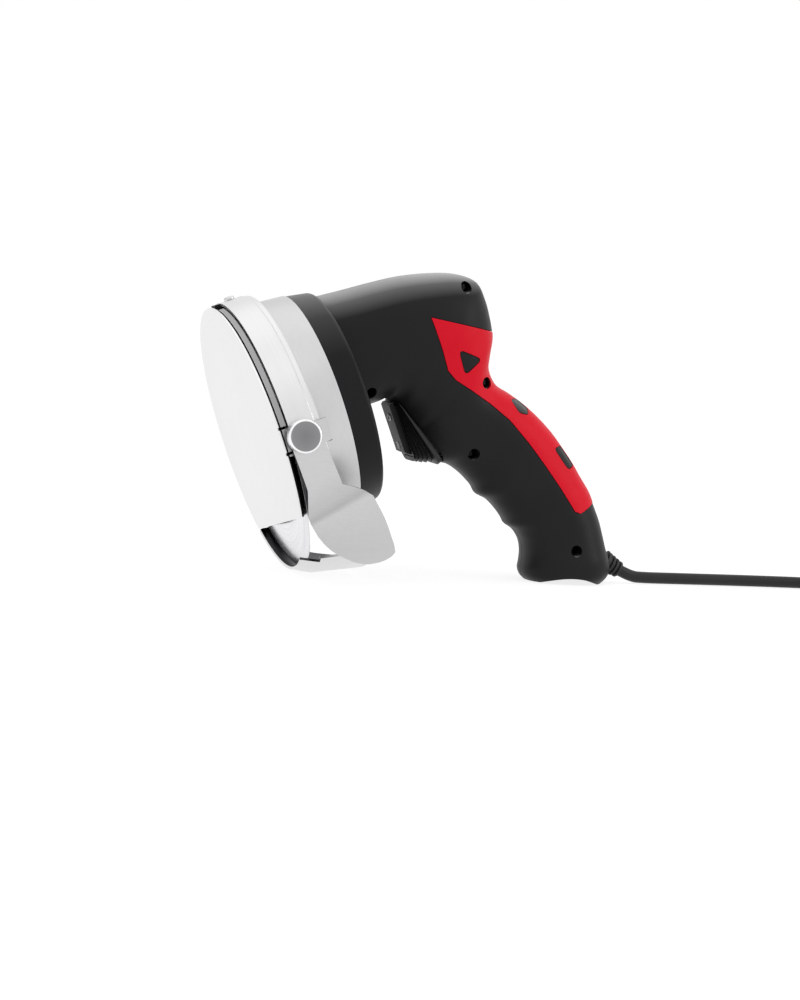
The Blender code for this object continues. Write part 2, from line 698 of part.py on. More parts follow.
def make_gear_case():
    """The black ring behind the drum: a cup with the rear bearing's boss."""
    inner = CASE_REAR_R - CASE_WALL
    profile = [(0, CASE_FLOOR), (inner, CASE_FLOOR), (CASE_FRONT_R - CASE_WALL, CASE_DEPTH),
               (CASE_FRONT_R, CASE_DEPTH)]
    profile += rounded(CASE_REAR_R - CASE_EDGE_R, CASE_EDGE_R, CASE_EDGE_R, 0)
    profile.append((0, 0))
    case = lathe("gear_case", profile, HEAD, BLACK)
    boss_top = REAR_BEARING + BEARING_T
    join(case, rod("case_boss", BOSS_OUTER_R, SEAT_FLOOR, boss_top, BLADE_AXIS))
    carve(case, rod("case_seat", SEAT_R, SEAT_FLOOR, CASE_DEPTH, BLADE_AXIS),
          rod("case_pilot", PILOT_R + GAP, -OVERRUN, CASE_DEPTH, MOTOR_AXIS))
    for side in (-1, 1):
        place = (0, side * MOTOR_SCREW_PLACE)
        carve(case, rod("case_screw_hole", MOTOR_SCREW_R + GAP, -OVERRUN, CASE_DEPTH,
                        MOTOR_AXIS, place=place, steps=SCREW_STEPS))


def pan_screw_place(index):
    """Where a screw between pan and drum stands, across the blade's axis."""
    point = on_rim(math.pi + math.tau * index / PAN_SCREWS, PAN_SCREW_PLACE, 0)
    return point.x, point.y


def make_drum():
    """The bright drum over the gears, with the front bearing's boss."""
    floor = DRUM_FRONT - DRUM_FLOOR
    profile = [(0, DRUM_FRONT)]
    profile += rounded(DRUM_FRONT_R - DRUM_EDGE_R, DRUM_FRONT - DRUM_EDGE_R, DRUM_EDGE_R, math.pi / 2)
    profile += [(DRUM_REAR_R, DRUM_REAR), (DRUM_REAR_R - DRUM_WALL, DRUM_REAR),
                (DRUM_FRONT_R - DRUM_WALL, floor), (0, floor)]
    drum = lathe("drum", profile, HEAD, ALLOY)
    join(drum, rod("drum_boss", BOSS_OUTER_R, FRONT_BEARING, DRUM_FRONT + DRUM_NOSE, BLADE_AXIS))
    for index in range(PAN_SCREWS):
        place = pan_screw_place(index)
        join(drum, rod("drum_screw_boss", PAN_BOSS_R, DRUM_FRONT - PAN_BOSS,
                       DRUM_FRONT - DRUM_FLOOR / 2, BLADE_AXIS, place=place))
        carve(drum, rod("drum_screw_hole", PAN_SCREW_R + GAP, DRUM_FRONT - PAN_BOSS - OVERRUN,
                        DRUM_FRONT + OVERRUN, BLADE_AXIS, place=place, steps=SCREW_STEPS))
    carve(drum, rod("drum_seat", SEAT_R, FRONT_BEARING - OVERRUN, FRONT_SHOULDER, BLADE_AXIS),
          rod("drum_bore", BEARING_BORE_R, DRUM_REAR, DRUM_FRONT + OVERRUN, BLADE_AXIS))


def make_pan():
    """The sheet pan round the blade: a floor behind it and a band at its rim."""
    waist = PAN_REAR + BAND_STEP_DEPTH
    hole = BOSS_OUTER_R + GAP
    floor = PAN_REAR + PAN_FLOOR
    profile = [
        (hole, floor), (BAND_INNER_R - BAND_STEP, floor), (BAND_INNER_R - BAND_STEP, waist),
        (BAND_INNER_R, waist + BAND_STEP), (BAND_INNER_R, PAN_FRONT), (RIM_R, PAN_FRONT),
        (RIM_R, waist + BAND_STEP), (RIM_R - BAND_STEP, waist),
        (RIM_R - BAND_STEP, PAN_REAR + BAND_STEP), (RIM_R - 2 * BAND_STEP, PAN_REAR), (hole, PAN_REAR),
    ]
    pan = lathe("head_pan", profile, BLADE_AXIS, STEEL, closed=True)
    outline = sector(BAND_INNER_R - OVERRUN, RIM_R + OVERRUN, RELIEF_TURNS, PAN_FRONT - RELIEF_DEPTH)
    carve(pan, chord_cutter("pan_chord"),
          prism("pan_relief", outline, Vector((0, 0, RELIEF_DEPTH + OVERRUN)), BLADE_AXIS))
    for index in range(PAN_SCREWS):
        carve(pan, rod("pan_screw_hole", PAN_SCREW_R + GAP, DRUM_FRONT, PAN_REAR + OVERRUN, BLADE_AXIS,
                       place=pan_screw_place(index), steps=SCREW_STEPS))
    carve(pan, rod("pan_stud_hole", STUD_R + GAP, DRUM_FRONT_R, RIM_R + OVERRUN, KNOB,
                   steps=SCREW_STEPS))
    for place in (*CLIPS, GUARD_SCREW):
        carve(pan, rod("pan_clip_hole", CLIP_SCREW_R + GAP, DRUM_FRONT_R, RIM_R + OVERRUN, place,
                       steps=SCREW_STEPS))


def make_blade():
    """The round knife: a bevelled rim, a dished middle and its keyway."""
    profile = [
        (BLADE_HOLE_R, DISH_FRONT), (DISH_R, DISH_FRONT), (DISH_R + DISH_SLOPE, BLADE_FRONT),
        (BLADE_R - BLADE_BEVEL, BLADE_FRONT), (BLADE_R, BLADE_REAR + BLADE_EDGE),
        (BLADE_R - BLADE_EDGE, BLADE_REAR), (DISH_R + DISH_SLOPE, BLADE_REAR),
        (DISH_R, DISH_REAR), (BLADE_HOLE_R, DISH_REAR),
    ]
    blade = lathe("blade", profile, BLADE_AXIS, BLADE_STEEL, closed=True)
    low, high = DISH_REAR - OVERRUN, BLADE_FRONT + OVERRUN
    across, wide = KEYWAY / 2, KEYWAY_WIDTH / 2
    carve(blade, box("blade_keyway", (-across, -wide, low), (across, wide, high), BLADE_AXIS),
          rod("blade_puller_hole", PULLER_R, low, high, BLADE_AXIS, place=(-PULLER_PLACE, 0),
              steps=SCREW_STEPS))


def make_blade_flange():
    """The hub that carries the blade, with the bar that fills its keyway."""
    rear = DRUM_FRONT + DRUM_NOSE + GAP
    disc = FLANGE_FRONT - FLANGE_T
    nose = DISH_FRONT - GAP
    nose_r = BLADE_HOLE_R - GAP
    profile = [(BEARING_BORE_R, nose), (nose_r, nose), (nose_r, FLANGE_FRONT), (FLANGE_R, FLANGE_FRONT),
               (FLANGE_R, disc), (HUB_R, disc), (HUB_R, rear), (BEARING_BORE_R, rear)]
    flange = lathe("blade_flange", profile, BLADE_AXIS, STEEL, steps=SMALL_STEPS * 2, closed=True)
    reach = KEYWAY / 2 - GAP
    half = KEYWAY_WIDTH / 2 - GAP
    for side, name in ((1, "flange_key_1"), (-1, "flange_key_2")):
        ends = sorted((side * reach, side * (nose_r + BEARING_BORE_R) / 2))
        join(flange, box(name, (ends[0], -half, disc + FLANGE_T / 2), (ends[1], half, nose), BLADE_AXIS))


def make_spindle():
    """The blade's spindle on its two bearings, and the screw in its end."""
    front = DISH_FRONT - GAP
    bore = SHANK_R + GAP
    floor = front - SHANK - GAP
    profile = [(0, floor), (bore, floor), (bore, front), (SPINDLE_R, front), (SPINDLE_R, REAR_BEARING),
               (0, REAR_BEARING)]
    lathe("spindle", profile, BLADE_AXIS, STEEL, steps=SMALL_STEPS)
    for name, low in (("spindle_rear_bearing", REAR_BEARING), ("spindle_front_bearing", FRONT_BEARING)):
        ring(name, BEARING_BORE_R, BEARING_R, low, low + BEARING_T, BLADE_AXIS, STEEL)
    seat = DISH_FRONT + GAP
    profile = [(0, seat + HEAD_T), (HEAD_R - HEAD_T / 2, seat + HEAD_T), (HEAD_R, seat + HEAD_T / 2),
               (HEAD_R, seat), (SHANK_R, seat), (SHANK_R, front - SHANK), (0, front - SHANK)]
    screw_piece = lathe("blade_screw", profile, BLADE_AXIS, STEEL, steps=SMALL_STEPS)
    carve(screw_piece, rod("blade_screw_socket", SOCKET_R, seat + HEAD_T - SOCKET_DEPTH, seat + OVERRUN,
                           BLADE_AXIS, steps=HEX))


def involute(radius, base):
    """How far an involute has turned where it reaches a radius."""
    if radius <= base:
        return 0
    pressure = math.acos(base / radius)
    return math.tan(pressure) - pressure


def gear_outline(teeth, tip_share, turn, depth):
    """The outline of a spur gear with involute flanks."""
    pitch = MODULE * teeth / 2
    base = pitch * math.cos(PRESSURE)
    root = pitch - MODULE * ROOT_SHARE
    tip = pitch + MODULE * tip_share
    start = max(root, base)
    radii = [root] if root < base else []
    radii += [start + (tip - start) * i / FLANK_STEPS for i in range(FLANK_STEPS + 1)]
    half = (math.pi * MODULE / 2 - BACKLASH) / (2 * pitch) + involute(pitch, base)
    flank = [(radius, half - involute(radius, base)) for radius in radii]
    points = []
    for tooth in range(teeth):
        middle = turn + math.tau * tooth / teeth
        for radius, spread in flank:
            points.append((radius, middle - spread))
        for radius, spread in reversed(flank):
            points.append((radius, middle + spread))
    return [Vector((radius * math.cos(a), radius * math.sin(a), depth)) for radius, a in points]


def make_gears():
    """The wheel on the spindle and the motor's pinion, in mesh."""
    wheel = prism("drive_gear", gear_outline(GEAR_TEETH, GEAR_TIP_SHARE, 0, GEAR_REAR),
                  Vector((0, 0, GEAR_T)), BLADE_AXIS, STEEL)
    carve(wheel, rod("drive_gear_bore", BEARING_BORE_R, GEAR_REAR - OVERRUN, GEAR_REAR + GEAR_T + OVERRUN,
                     BLADE_AXIS))
    rear = GEAR_REAR - (PINION_T - GEAR_T) / 2
    outline = gear_outline(PINION_TEETH, PINION_TIP_SHARE, math.pi / PINION_TEETH, rear)
    pinion = prism("pinion", outline, Vector((0, 0, PINION_T)), MOTOR_AXIS, STEEL)
    carve(pinion, rod("pinion_bore", SHAFT_R + GAP, rear - OVERRUN, rear + PINION_T + OVERRUN, MOTOR_AXIS))


def make_motor_frame():
    """The motor's can with its front bearing seat, end bell, magnets and brushes."""
    face = -GAP
    seat = MOTOR_BEARING_R + GAP
    inner = MOTOR_R - MOTOR_WALL
    bore = SHAFT_R + GAP
    lip = face + PILOT - SEAT_FLOOR / 2
    profile = [(bore, face + PILOT), (PILOT_R, face + PILOT), (PILOT_R, face), (MOTOR_R, face),
               (MOTOR_R, MOTOR_REAR), (inner, MOTOR_REAR), (inner, face - MOTOR_PLATE),
               (seat, face - MOTOR_PLATE), (seat, lip), (bore, lip)]
    can = lathe("motor_can", profile, MOTOR_AXIS, STEEL, steps=SMALL_STEPS * 2, closed=True)
    for side in (-1, 1):
        carve(can, rod("motor_screw_thread", MOTOR_SCREW_R + GAP, face - MOTOR_PLATE - OVERRUN, OVERRUN,
                       MOTOR_AXIS, place=(0, side * MOTOR_SCREW_PLACE), steps=SCREW_STEPS))
    front = MOTOR_REAR - GAP
    floor = front - MOTOR_BEARING_T - GAP
    profile = [(0, floor), (seat, floor), (seat, front), (MOTOR_R, front), (MOTOR_R, front - BELL_T),
               (0, front - BELL_T)]
    lathe("end_bell", profile, MOTOR_AXIS, BLACK, steps=SMALL_STEPS * 2)
    for name, low in (("motor_front_bearing", lip - GAP - MOTOR_BEARING_T), ("motor_rear_bearing", floor + GAP)):
        ring(name, bore, MOTOR_BEARING_R, low, low + MOTOR_BEARING_T, MOTOR_AXIS, STEEL)
    for index, middle in enumerate((0, math.pi)):
        turns = (middle - MAGNET_HALF, middle + MAGNET_HALF)
        outline = sector(inner - GAP - MAGNET_T, inner - GAP, turns, face - CORE_PLACE - CORE_LENGTH)
        prism(f"magnet_{index + 1}", outline, Vector((0, 0, CORE_LENGTH)), MOTOR_AXIS, MAGNET)
    near = COMMUTATOR_R + GAP
    top = face - COMMUTATOR_PLACE - GAP
    for index, side in enumerate((-1, 1)):
        ends = sorted((side * near, side * (near + BRUSH_LENGTH)))
        box(f"brush_{index + 1}", (-BRUSH_WIDTH / 2, ends[0], MOTOR_REAR),
            (BRUSH_WIDTH / 2, ends[1], top), MOTOR_AXIS, BRASS)


def core_outline(extra, depth):
    """The armature's core, a disc with open slots, larger by a little."""
    floor = SLOT_FLOOR_R + extra
    half = math.asin((SLOT_WIDTH / 2 - extra) / (CORE_R + extra))
    floor_half = math.asin((SLOT_WIDTH / 2 - extra) / floor)
    points = []
    pitch = math.tau / CORE_SLOTS
    for slot in range(CORE_SLOTS):
        middle = slot * pitch
        arc = pitch - 2 * half
        points += [(floor, middle - floor_half), (floor, middle + floor_half)]
        points += [(CORE_R + extra, middle + half + arc * i / EDGE_STEPS) for i in range(EDGE_STEPS + 1)]
    return [Vector((radius * math.cos(a), radius * math.sin(a), depth)) for radius, a in points]


def make_rotor():
    """Shaft, slotted core, its winding, commutator and fan."""
    face = -GAP
    rod("rotor_shaft", SHAFT_R, MOTOR_REAR - GAP - MOTOR_BEARING_T, GEAR_REAR + PINION_T, MOTOR_AXIS, STEEL)
    bore = SHAFT_R + GAP
    front = face - CORE_PLACE
    rear = front - CORE_LENGTH
    core = prism("armature_core", core_outline(0, rear), Vector((0, 0, CORE_LENGTH)), MOTOR_AXIS, STEEL)
    carve(core, rod("core_bore", bore, rear - OVERRUN, front + OVERRUN, MOTOR_AXIS))
    room = prism("winding_room", core_outline(GAP, rear - GAP), Vector((0, 0, CORE_LENGTH + 2 * GAP)),
                 MOTOR_AXIS)
    winding = ring("armature_winding", bore + GAP, WINDING_R, rear - WINDING_END, front + WINDING_END,
                   MOTOR_AXIS, COPPER)
    carve(winding, room)
    low = face - COMMUTATOR_PLACE - COMMUTATOR_T
    ring("commutator", bore, COMMUTATOR_R, low, low + COMMUTATOR_T, MOTOR_AXIS, COPPER)
    top = face - FAN_PLACE
    disc = top - FAN_T + FAN_DISC
    profile = [(bore, top), (FAN_HUB_R, top), (FAN_HUB_R, disc), (FAN_R, disc), (FAN_R, top - FAN_T),
               (bore, top - FAN_T)]
    fan = lathe("cooling_fan", profile, MOTOR_AXIS, BLACK, steps=SMALL_STEPS, closed=True)
    inner = (bore + FAN_HUB_R) / 2
    for blade in range(FAN_BLADES):
        turn = Matrix.Rotation(math.tau * blade / FAN_BLADES, 4, "Z")
        place = frame(f"fan_blade_place_{blade + 1}", MOTOR_AXIS, turn)
        join(fan, box("fan_blade", (inner, -FAN_BLADE_T / 2, disc - FAN_DISC / 2),
                      (FAN_R - FAN_DISC, FAN_BLADE_T / 2, top - FAN_DISC / 2), place))


def screw(name, radius, head_radius, head, length, seat, parent):
    """A pan-head screw whose head stands on a seat, its shank towards -Z."""
    profile = [(0, seat + head), (head_radius - head / 2, seat + head), (head_radius, seat + head / 2),
               (head_radius, seat), (radius, seat), (radius, seat - length), (0, seat - length)]
    return lathe(name, profile, parent, STEEL, steps=SCREW_STEPS)


def make_head_screws():
    """Screws from pan to drum and from gear case to motor."""
    for index in range(PAN_SCREWS):
        place = frame(f"pan_screw_place_{index + 1}", BLADE_AXIS,
                      Matrix.Translation((*pan_screw_place(index), 0)))
        seat = PAN_REAR + PAN_FLOOR + GAP
        screw(f"pan_screw_{index + 1}", PAN_SCREW_R, PAN_HEAD_R, PAN_HEAD_T, PAN_BOSS, seat, place)
    for index, side in enumerate((-1, 1)):
        place = frame(f"motor_screw_place_{index + 1}", MOTOR_AXIS,
                      Matrix.Translation((0, side * MOTOR_SCREW_PLACE, 0)))
        seat = CASE_FLOOR + GAP
        screw(f"motor_screw_{index + 1}", MOTOR_SCREW_R, MOTOR_HEAD_R, MOTOR_HEAD_T,
              seat + MOTOR_PLATE, seat, place)


def make_front_cover():
    """The cover in front of the blade: a disc with a turned rim and a tab."""
    middle = COVER_FRONT - COVER_EDGE_R
    profile = [(0, COVER_FRONT)]
    profile += rounded(RIM_R - COVER_EDGE_R, middle, COVER_EDGE_R, math.pi / 2)
    profile += [(RIM_R, COVER_REAR), (RIM_R - COVER_T, COVER_REAR), (RIM_R - COVER_T, middle),
                (RIM_R - COVER_EDGE_R, COVER_FRONT - COVER_T), (0, COVER_FRONT - COVER_T)]
    cover = lathe("front_cover", profile, BLADE_AXIS, STEEL)
    half = TAB_HALF / RIM_R
    turns = (TAB_TURN - half, TAB_TURN + half)
    outline = sector(RIM_R - COVER_T - GAP, RIM_R - GAP, turns, PAN_FRONT + GAP)
    join(cover, prism("cover_tab", outline, Vector((0, 0, middle - PAN_FRONT - GAP)), BLADE_AXIS))
    for index, turn in enumerate(turns):
        place = rim_frame(f"cover_notch_place_{index + 1}", turn, COVER_REAR)
        carve(cover, box(f"cover_notch_{index + 1}", (-OVERRUN, -NOTCH_WIDTH / 2, BLADE_R),
                         (NOTCH_DEPTH, NOTCH_WIDTH / 2, RIM_R + OVERRUN), place))
    carve(cover, chord_cutter("cover_chord"))


def make_clips():
    """Clips behind the cover's rim and inside the band, and their screws."""
    low = BAND_SEAT_R - CLIP_T
    ahead = COVER_REAR - GAP - CLIP_SCREW_DEPTH
    step = PAN_FRONT + GAP - CLIP_SCREW_DEPTH
    rear = ahead - CLIP_REACH
    profile = [(rear, low), (ahead, low), (ahead, RIM_R - GAP), (step, RIM_R - GAP), (step, BAND_SEAT_R),
               (rear, BAND_SEAT_R)]
    outline = [Vector((x, -CLIP_HALF, z)) for x, z in profile]
    for index, clip in enumerate(CLIPS):
        piece = prism(f"cover_clip_{index + 1}", outline, Vector((0, 2 * CLIP_HALF, 0)), clip, BLACK)
        carve(piece, rod(f"clip_hole_{index + 1}", CLIP_SCREW_R + GAP, low - OVERRUN, RIM_R + OVERRUN,
                         clip, steps=SCREW_STEPS))
    on_band = RIM_R + GAP
    for name, place, seat in (("cover_screw_1", CLIPS[0], on_band), ("cover_screw_2", CLIPS[1], KNOB_SEAT),
                              ("guard_screw", GUARD_SCREW, KNOB_SEAT)):
        screw(name, CLIP_SCREW_R, CLIP_HEAD_R, CLIP_HEAD_T, seat - low, seat, place)


def make_lower_guard():
    """The strip under the blade. Its lip turns in before the blade, and it
    flares out behind; on the far side it lies on the band."""
    rows = []
    for degrees in range(GUARD_TURNS[0], GUARD_TURNS[1] + 1, GUARD_TURN_STEP):
        lip = rise(degrees, GUARD_LIP_TURNS)
        flare = rise(degrees, GUARD_FLARE_TURNS)
        whole = rise(degrees, GUARD_DEPTH_TURNS)
        depth = GUARD_DEPTH * (GUARD_END_SHARE + (1 - GUARD_END_SHARE) * whole)
        spread = depth * math.tan(GUARD_FLARE * flare)
        front = LIP_START + LIP_DEPTH * (GUARD_SIDE_SHARE + (1 - GUARD_SIDE_SHARE) * lip)
        row = [(LIP_START - depth, STRAP_R + spread), (LIP_START - depth / 2, STRAP_R + spread / 2),
               (LIP_START, STRAP_R), (front, STRAP_R - LIP_DROP * lip)]
        rows.append([on_rim(math.radians(degrees), radius, place) for place, radius in row])
    guard = sheet("lower_guard", rows, BLADE_AXIS, STEEL)
    for index, place in enumerate((CLIPS[1], GUARD_SCREW)):
        carve(guard, rod(f"guard_hole_{index + 1}", CLIP_SCREW_R + GAP, DRUM_FRONT_R, RIM_R + OVERRUN,
                         place, steps=SCREW_STEPS))


def guide_rows():
    """Turns with the depths of the guide's edges, at most a few degrees apart."""
    rows = []
    for first, second in zip(GUIDE_EDGE_SHARES, GUIDE_EDGE_SHARES[1:]):
        steps = math.ceil((second[0] - first[0]) / GUIDE_TURN_STEP)
        for i in range(steps):
            rows.append([a + (b - a) * i / steps for a, b in zip(first, second)])
    rows.append(GUIDE_EDGE_SHARES[-1])
    return rows


def make_thickness_guide():
    """The strap on the band and the paddle that sets the slice's thickness."""
    grid = []
    for degrees, front_share, rear_share in guide_rows():
        whole = rise(degrees, GUIDE_FLARE_TURNS)
        row = []
        for i in range(GUIDE_SPANS + 1):
            back = PADDLE_DEPTH * (rear_share + (front_share - rear_share) * i / GUIDE_SPANS)
            radius = STRAP_R + GUIDE_LIFT * whole + back * math.tan(GUIDE_FLARE * whole)
            row.append(on_rim(math.radians(degrees), radius, COVER_REAR - back))
        grid.append(row)
    guide = sheet("thickness_guide", grid, BLADE_AXIS, STEEL)
    half = STUD_R + GAP
    carve(guide, box("guide_slot", (-GUIDE_FORWARD, -half, BAND_INNER_R),
                     (GUIDE_BACK, half, KNOB_SEAT + OVERRUN), KNOB))
    for name, place in (("slot_rear_end", -GUIDE_FORWARD), ("slot_front_end", GUIDE_BACK)):
        carve(guide, rod(name, half, BAND_INNER_R, KNOB_SEAT + OVERRUN, KNOB, place=(place, 0),
                         steps=SCREW_STEPS))


def make_knob():
    """The knob that clamps the guide, and the stud that it runs on."""
    top = KNOB_SEAT + KNOB_T
    bore = STUD_R + GAP
    roof = top - KNOB_WALL
    profile = [(0, top)]
    profile += rounded(KNOB_R - KNOB_EDGE_R, top - KNOB_EDGE_R, KNOB_EDGE_R, math.pi / 2)
    profile += [(KNOB_R, KNOB_SEAT), (bore, KNOB_SEAT), (bore, roof), (0, roof)]
    lathe("clamp_knob", profile, KNOB, STEEL, steps=SMALL_STEPS * 2)
    flange_low = BAND_SEAT_R - STUD_FLANGE_T
    profile = [(0, roof - GAP), (STUD_R, roof - GAP), (STUD_R, BAND_SEAT_R),
               (STUD_FLANGE_R, BAND_SEAT_R), (STUD_FLANGE_R, flange_low), (0, flange_low)]
    lathe("clamp_stud", profile, KNOB, STEEL, steps=SCREW_STEPS)


def rounded_section(high, wide, power, steps):
    """Pairs round a section between an ellipse and a rectangle."""
    pairs = []
    for i in range(steps):
        turn = math.tau * i / steps
        across = math.copysign(abs(math.cos(turn)) ** power, math.cos(turn))
        along = math.copysign(abs(math.sin(turn)) ** power, math.sin(turn))
        pairs.append((high * across, wide * along))
    return pairs


def housing_ring(position, inset, steps):
    """One section of the housing, 0 at the gear case and 1 at the heel."""
    back_x, back_z, front_x, front_z, half = between(STATION_SHARES, position)
    back = housing_place((back_x, back_z))
    front = housing_place((front_x, front_z))
    along = (back - front).normalized()
    for ridge in RIDGE_SHARES:
        front -= along * RIDGE_HEIGHT * math.exp(-((position - ridge) / RIDGE_WIDTH_SHARE) ** 2)
    middle = (back + front) / 2
    section = rounded_section((back - front).length / 2 - inset, half * BARREL_HALF - inset,
                              SECTION_POWER, steps)
    return [middle + along * high + Vector((0, wide, 0)) for high, wide in section]


def housing_loft(name, inset, rings, steps, end=1.0, look=None, lead=0):
    """The housing's form, inset all round, with an added lead-in at its front."""
    rows = [housing_ring(end * i / (rings - 1), inset, steps) for i in range(rings)]
    if lead:
        ahead = Vector((-math.cos(TILT), 0, -math.sin(TILT))) * lead
        rows.insert(0, [point + ahead for point in rows[0]])
    return skin(name, rows, TOOL, look)


def side_prism(name, shares, extra, low, high):
    """A prism across the housing, on an outline seen from its side."""
    outline = grown([housing_place(point) for point in shares], extra)
    outline = [point + Vector((0, low, 0)) for point in outline]
    return prism(name, outline, Vector((0, high - low, 0)), TOOL)


def boot_ring(turn, start, length, half):
    """A rounded oblong in the plane that fans out from the boot's top end."""
    radius = half * BOOT_CORNER_SHARE
    points = []
    for quarter in range(4):
        along = length - radius if quarter in (0, 3) else start + radius
        across = half - radius if quarter in (0, 1) else radius - half
        for i in range(BOOT_CORNER_STEPS):
            angle = math.pi / 2 * (quarter + i / (BOOT_CORNER_STEPS - 1))
            s = along + radius * math.cos(angle)
            y = across + radius * math.sin(angle)
            points.append(Vector((-s * math.cos(turn), y, s * math.sin(turn))))
    return points


def boot_loft(name, extra, look=None):
    """The fan-shaped boot with its pleats, larger all round by a little."""
    rows = list(BOOT_BASE_SHARES)
    for i in range(2 * PLEATS + 1):
        part = i / (2 * PLEATS)
        groove = PLEAT_DEPTH if i % 2 == 0 else 0
        turn, length, half = [a + (b - a) * part for a, b in zip(*PLEAT_SHARES)]
        rows.append((turn, length - groove / BOOT_LENGTH, half - groove / BOOT_HALF))
    rows.append(BOOT_FRONT_SHARES)
    back = BOOT_TURNS[0] - 2 * extra / BOOT_HALF
    span = BOOT_TURNS[1] - back
    rings = [boot_ring(back + span * turn, BOOT_START - extra, BOOT_LENGTH * length + extra,
                       BOOT_HALF * half + extra) for turn, length, half in rows]
    return skin(name, rings, SWITCH, look)


def switch_room(extra, top, depth):
    """Corners of a block about the rocker, from a depth up to a top."""
    x = ROCKER_LENGTH / 2 + ROCKER_RUN + extra
    y = ROCKER_HALF + GAP + extra
    return (-ROCKER_PLACE - x, -y, -depth), (-ROCKER_PLACE + x, y, top)


def make_switch():
    """The ribbed boot, the switch in it and its rocker."""
    boot = boot_loft("switch_boot", 0, RUBBER)
    carve(boot, box("boot_pocket", *switch_room(SWITCH_WALL + GAP, OVERRUN, SWITCH_DEPTH), FACE))
    body = box("switch_body", *switch_room(SWITCH_WALL, -SWITCH_TOP, SWITCH_DEPTH), FACE, BLACK)
    carve(body, box("switch_recess", *switch_room(0, OVERRUN, SWITCH_RECESS), FACE))
    carve(body, rod("pivot_hole", PIVOT_R + GAP, -BOOT_HALF, BOOT_HALF, PIVOT, steps=SCREW_STEPS))
    half = ROCKER_LENGTH / 2
    height = ROCKER_PROUD + PIVOT_DEPTH
    outline = [Vector((x * half, -ROCKER_HALF, z * height)) for x, z in ROCKER_SHARES]
    rocker = prism("rocker", outline, Vector((0, 2 * ROCKER_HALF, 0)), ROCKER, BLACK)
    reach = ROCKER_HALF + PIVOT_REACH
    join(rocker, rod("rocker_pivot", PIVOT_R, -reach, reach, PIVOT, steps=SCREW_STEPS))


def make_cord_grip():
    """The ribbed sleeve where the cord leaves the heel, with its flange inside."""
    flange_low = -GRIP_FLANGE_BACK
    flange_top = flange_low + GRIP_FLANGE_T
    pitch = (GRIP_OUTSIDE - GRIP_NECK) / GRIP_RIBS
    profile = [(0, GRIP_OUTSIDE), (GRIP_TIP_R - GRIP_RIB_DEPTH / 2, GRIP_OUTSIDE)]
    for rib in range(GRIP_RIBS):
        radius = GRIP_TIP_R + (GRIP_ROOT_R - GRIP_TIP_R) * rib / GRIP_RIBS
        top = GRIP_OUTSIDE - pitch * rib
        profile += [(radius, top - pitch * RIB_SHARES[0]), (radius, top - pitch * RIB_SHARES[1])]
        if rib < GRIP_RIBS - 1:
            profile += [(radius - GRIP_RIB_DEPTH, top - pitch * RIB_SHARES[2]),
                        (radius - GRIP_RIB_DEPTH, top - pitch)]
    profile += [
        (GRIP_ROOT_R, GRIP_NECK), (GRIP_NECK_R, GRIP_NECK), (GRIP_NECK_R, flange_top),
        (GRIP_FLANGE_R, flange_top), (GRIP_FLANGE_R, flange_low), (GRIP_NECK_R, flange_low),
        (GRIP_NECK_R, -GRIP_INSIDE), (0, -GRIP_INSIDE),
    ]
    lathe("cord_grip", profile, GRIP, RUBBER, steps=SMALL_STEPS)


def housing_cutters():
    """What is cut from both shells, apart from each one's other half."""
    hollow = housing_loft("housing_hollow", HOUSING_WALL, HOLLOW_RINGS, HOLLOW_STEPS,
                          end=HOLLOW_END_SHARE, lead=OVERRUN)
    for index, place in enumerate(HOUSING_SCREWS):
        carve(hollow, rod(f"housing_boss_{index + 1}", BOSS_R, -BARREL_HALF, BARREL_HALF, place))
    reach = CASE_FRONT_R
    wide = BARREL_HALF + OVERRUN
    zone = side_prism("inlay_recess", INLAY_SHARES, GAP, -wide, wide)
    carve(zone, housing_loft("inlay_floor", INLAY_DEPTH, RING_COUNT, SECTION_STEPS))
    for name, shares in ISLANDS:
        carve(zone, side_prism(f"{name}_island", shares, 0, -wide - OVERRUN, wide + OVERRUN))
    cutters = [
        hollow, zone, boot_loft("housing_boot_seat", GAP),
        box("housing_trim", (-reach, -reach, -GAP), (reach, reach, CASE_DEPTH * 2), HEAD),
        box("housing_switch_room", *switch_room(SWITCH_WALL + GAP, OVERRUN, SWITCH_DEPTH + GAP), FACE),
        rod("grip_seat", GRIP_ROOT_R + GAP, GRIP_NECK - GAP, GRIP_OUTSIDE, GRIP),
        rod("grip_hole", GRIP_NECK_R + GAP, -GRIP_INSIDE - GAP, GRIP_OUTSIDE, GRIP),
        rod("grip_flange_room", GRIP_FLANGE_R + GAP, -GRIP_INSIDE - GAP,
            GRIP_FLANGE_T - GRIP_FLANGE_BACK + GAP, GRIP),
    ]
    radius = (ARCH_WIDTH ** 2 / 4 + ARCH_DEPTH ** 2) / (2 * ARCH_DEPTH)
    arch = side_frame("arch_place", ARCH_PLACE_SHARE, -1)
    cutters.append(rod("heel_arch", radius, -wide, wide, arch, place=(0, ARCH_DEPTH - radius),
                       steps=ROUND_STEPS))
    for index, place in enumerate(HOUSING_SCREWS):
        cutters.append(rod(f"housing_sink_{index + 1}", SINK_R, SINK_FLOOR, wide, place))
        cutters.append(rod(f"housing_hole_{index + 1}", BOSS_HOLE_R, -PEG_DEPTH, SINK_FLOOR + GAP, place,
                           steps=SCREW_STEPS))
    return cutters


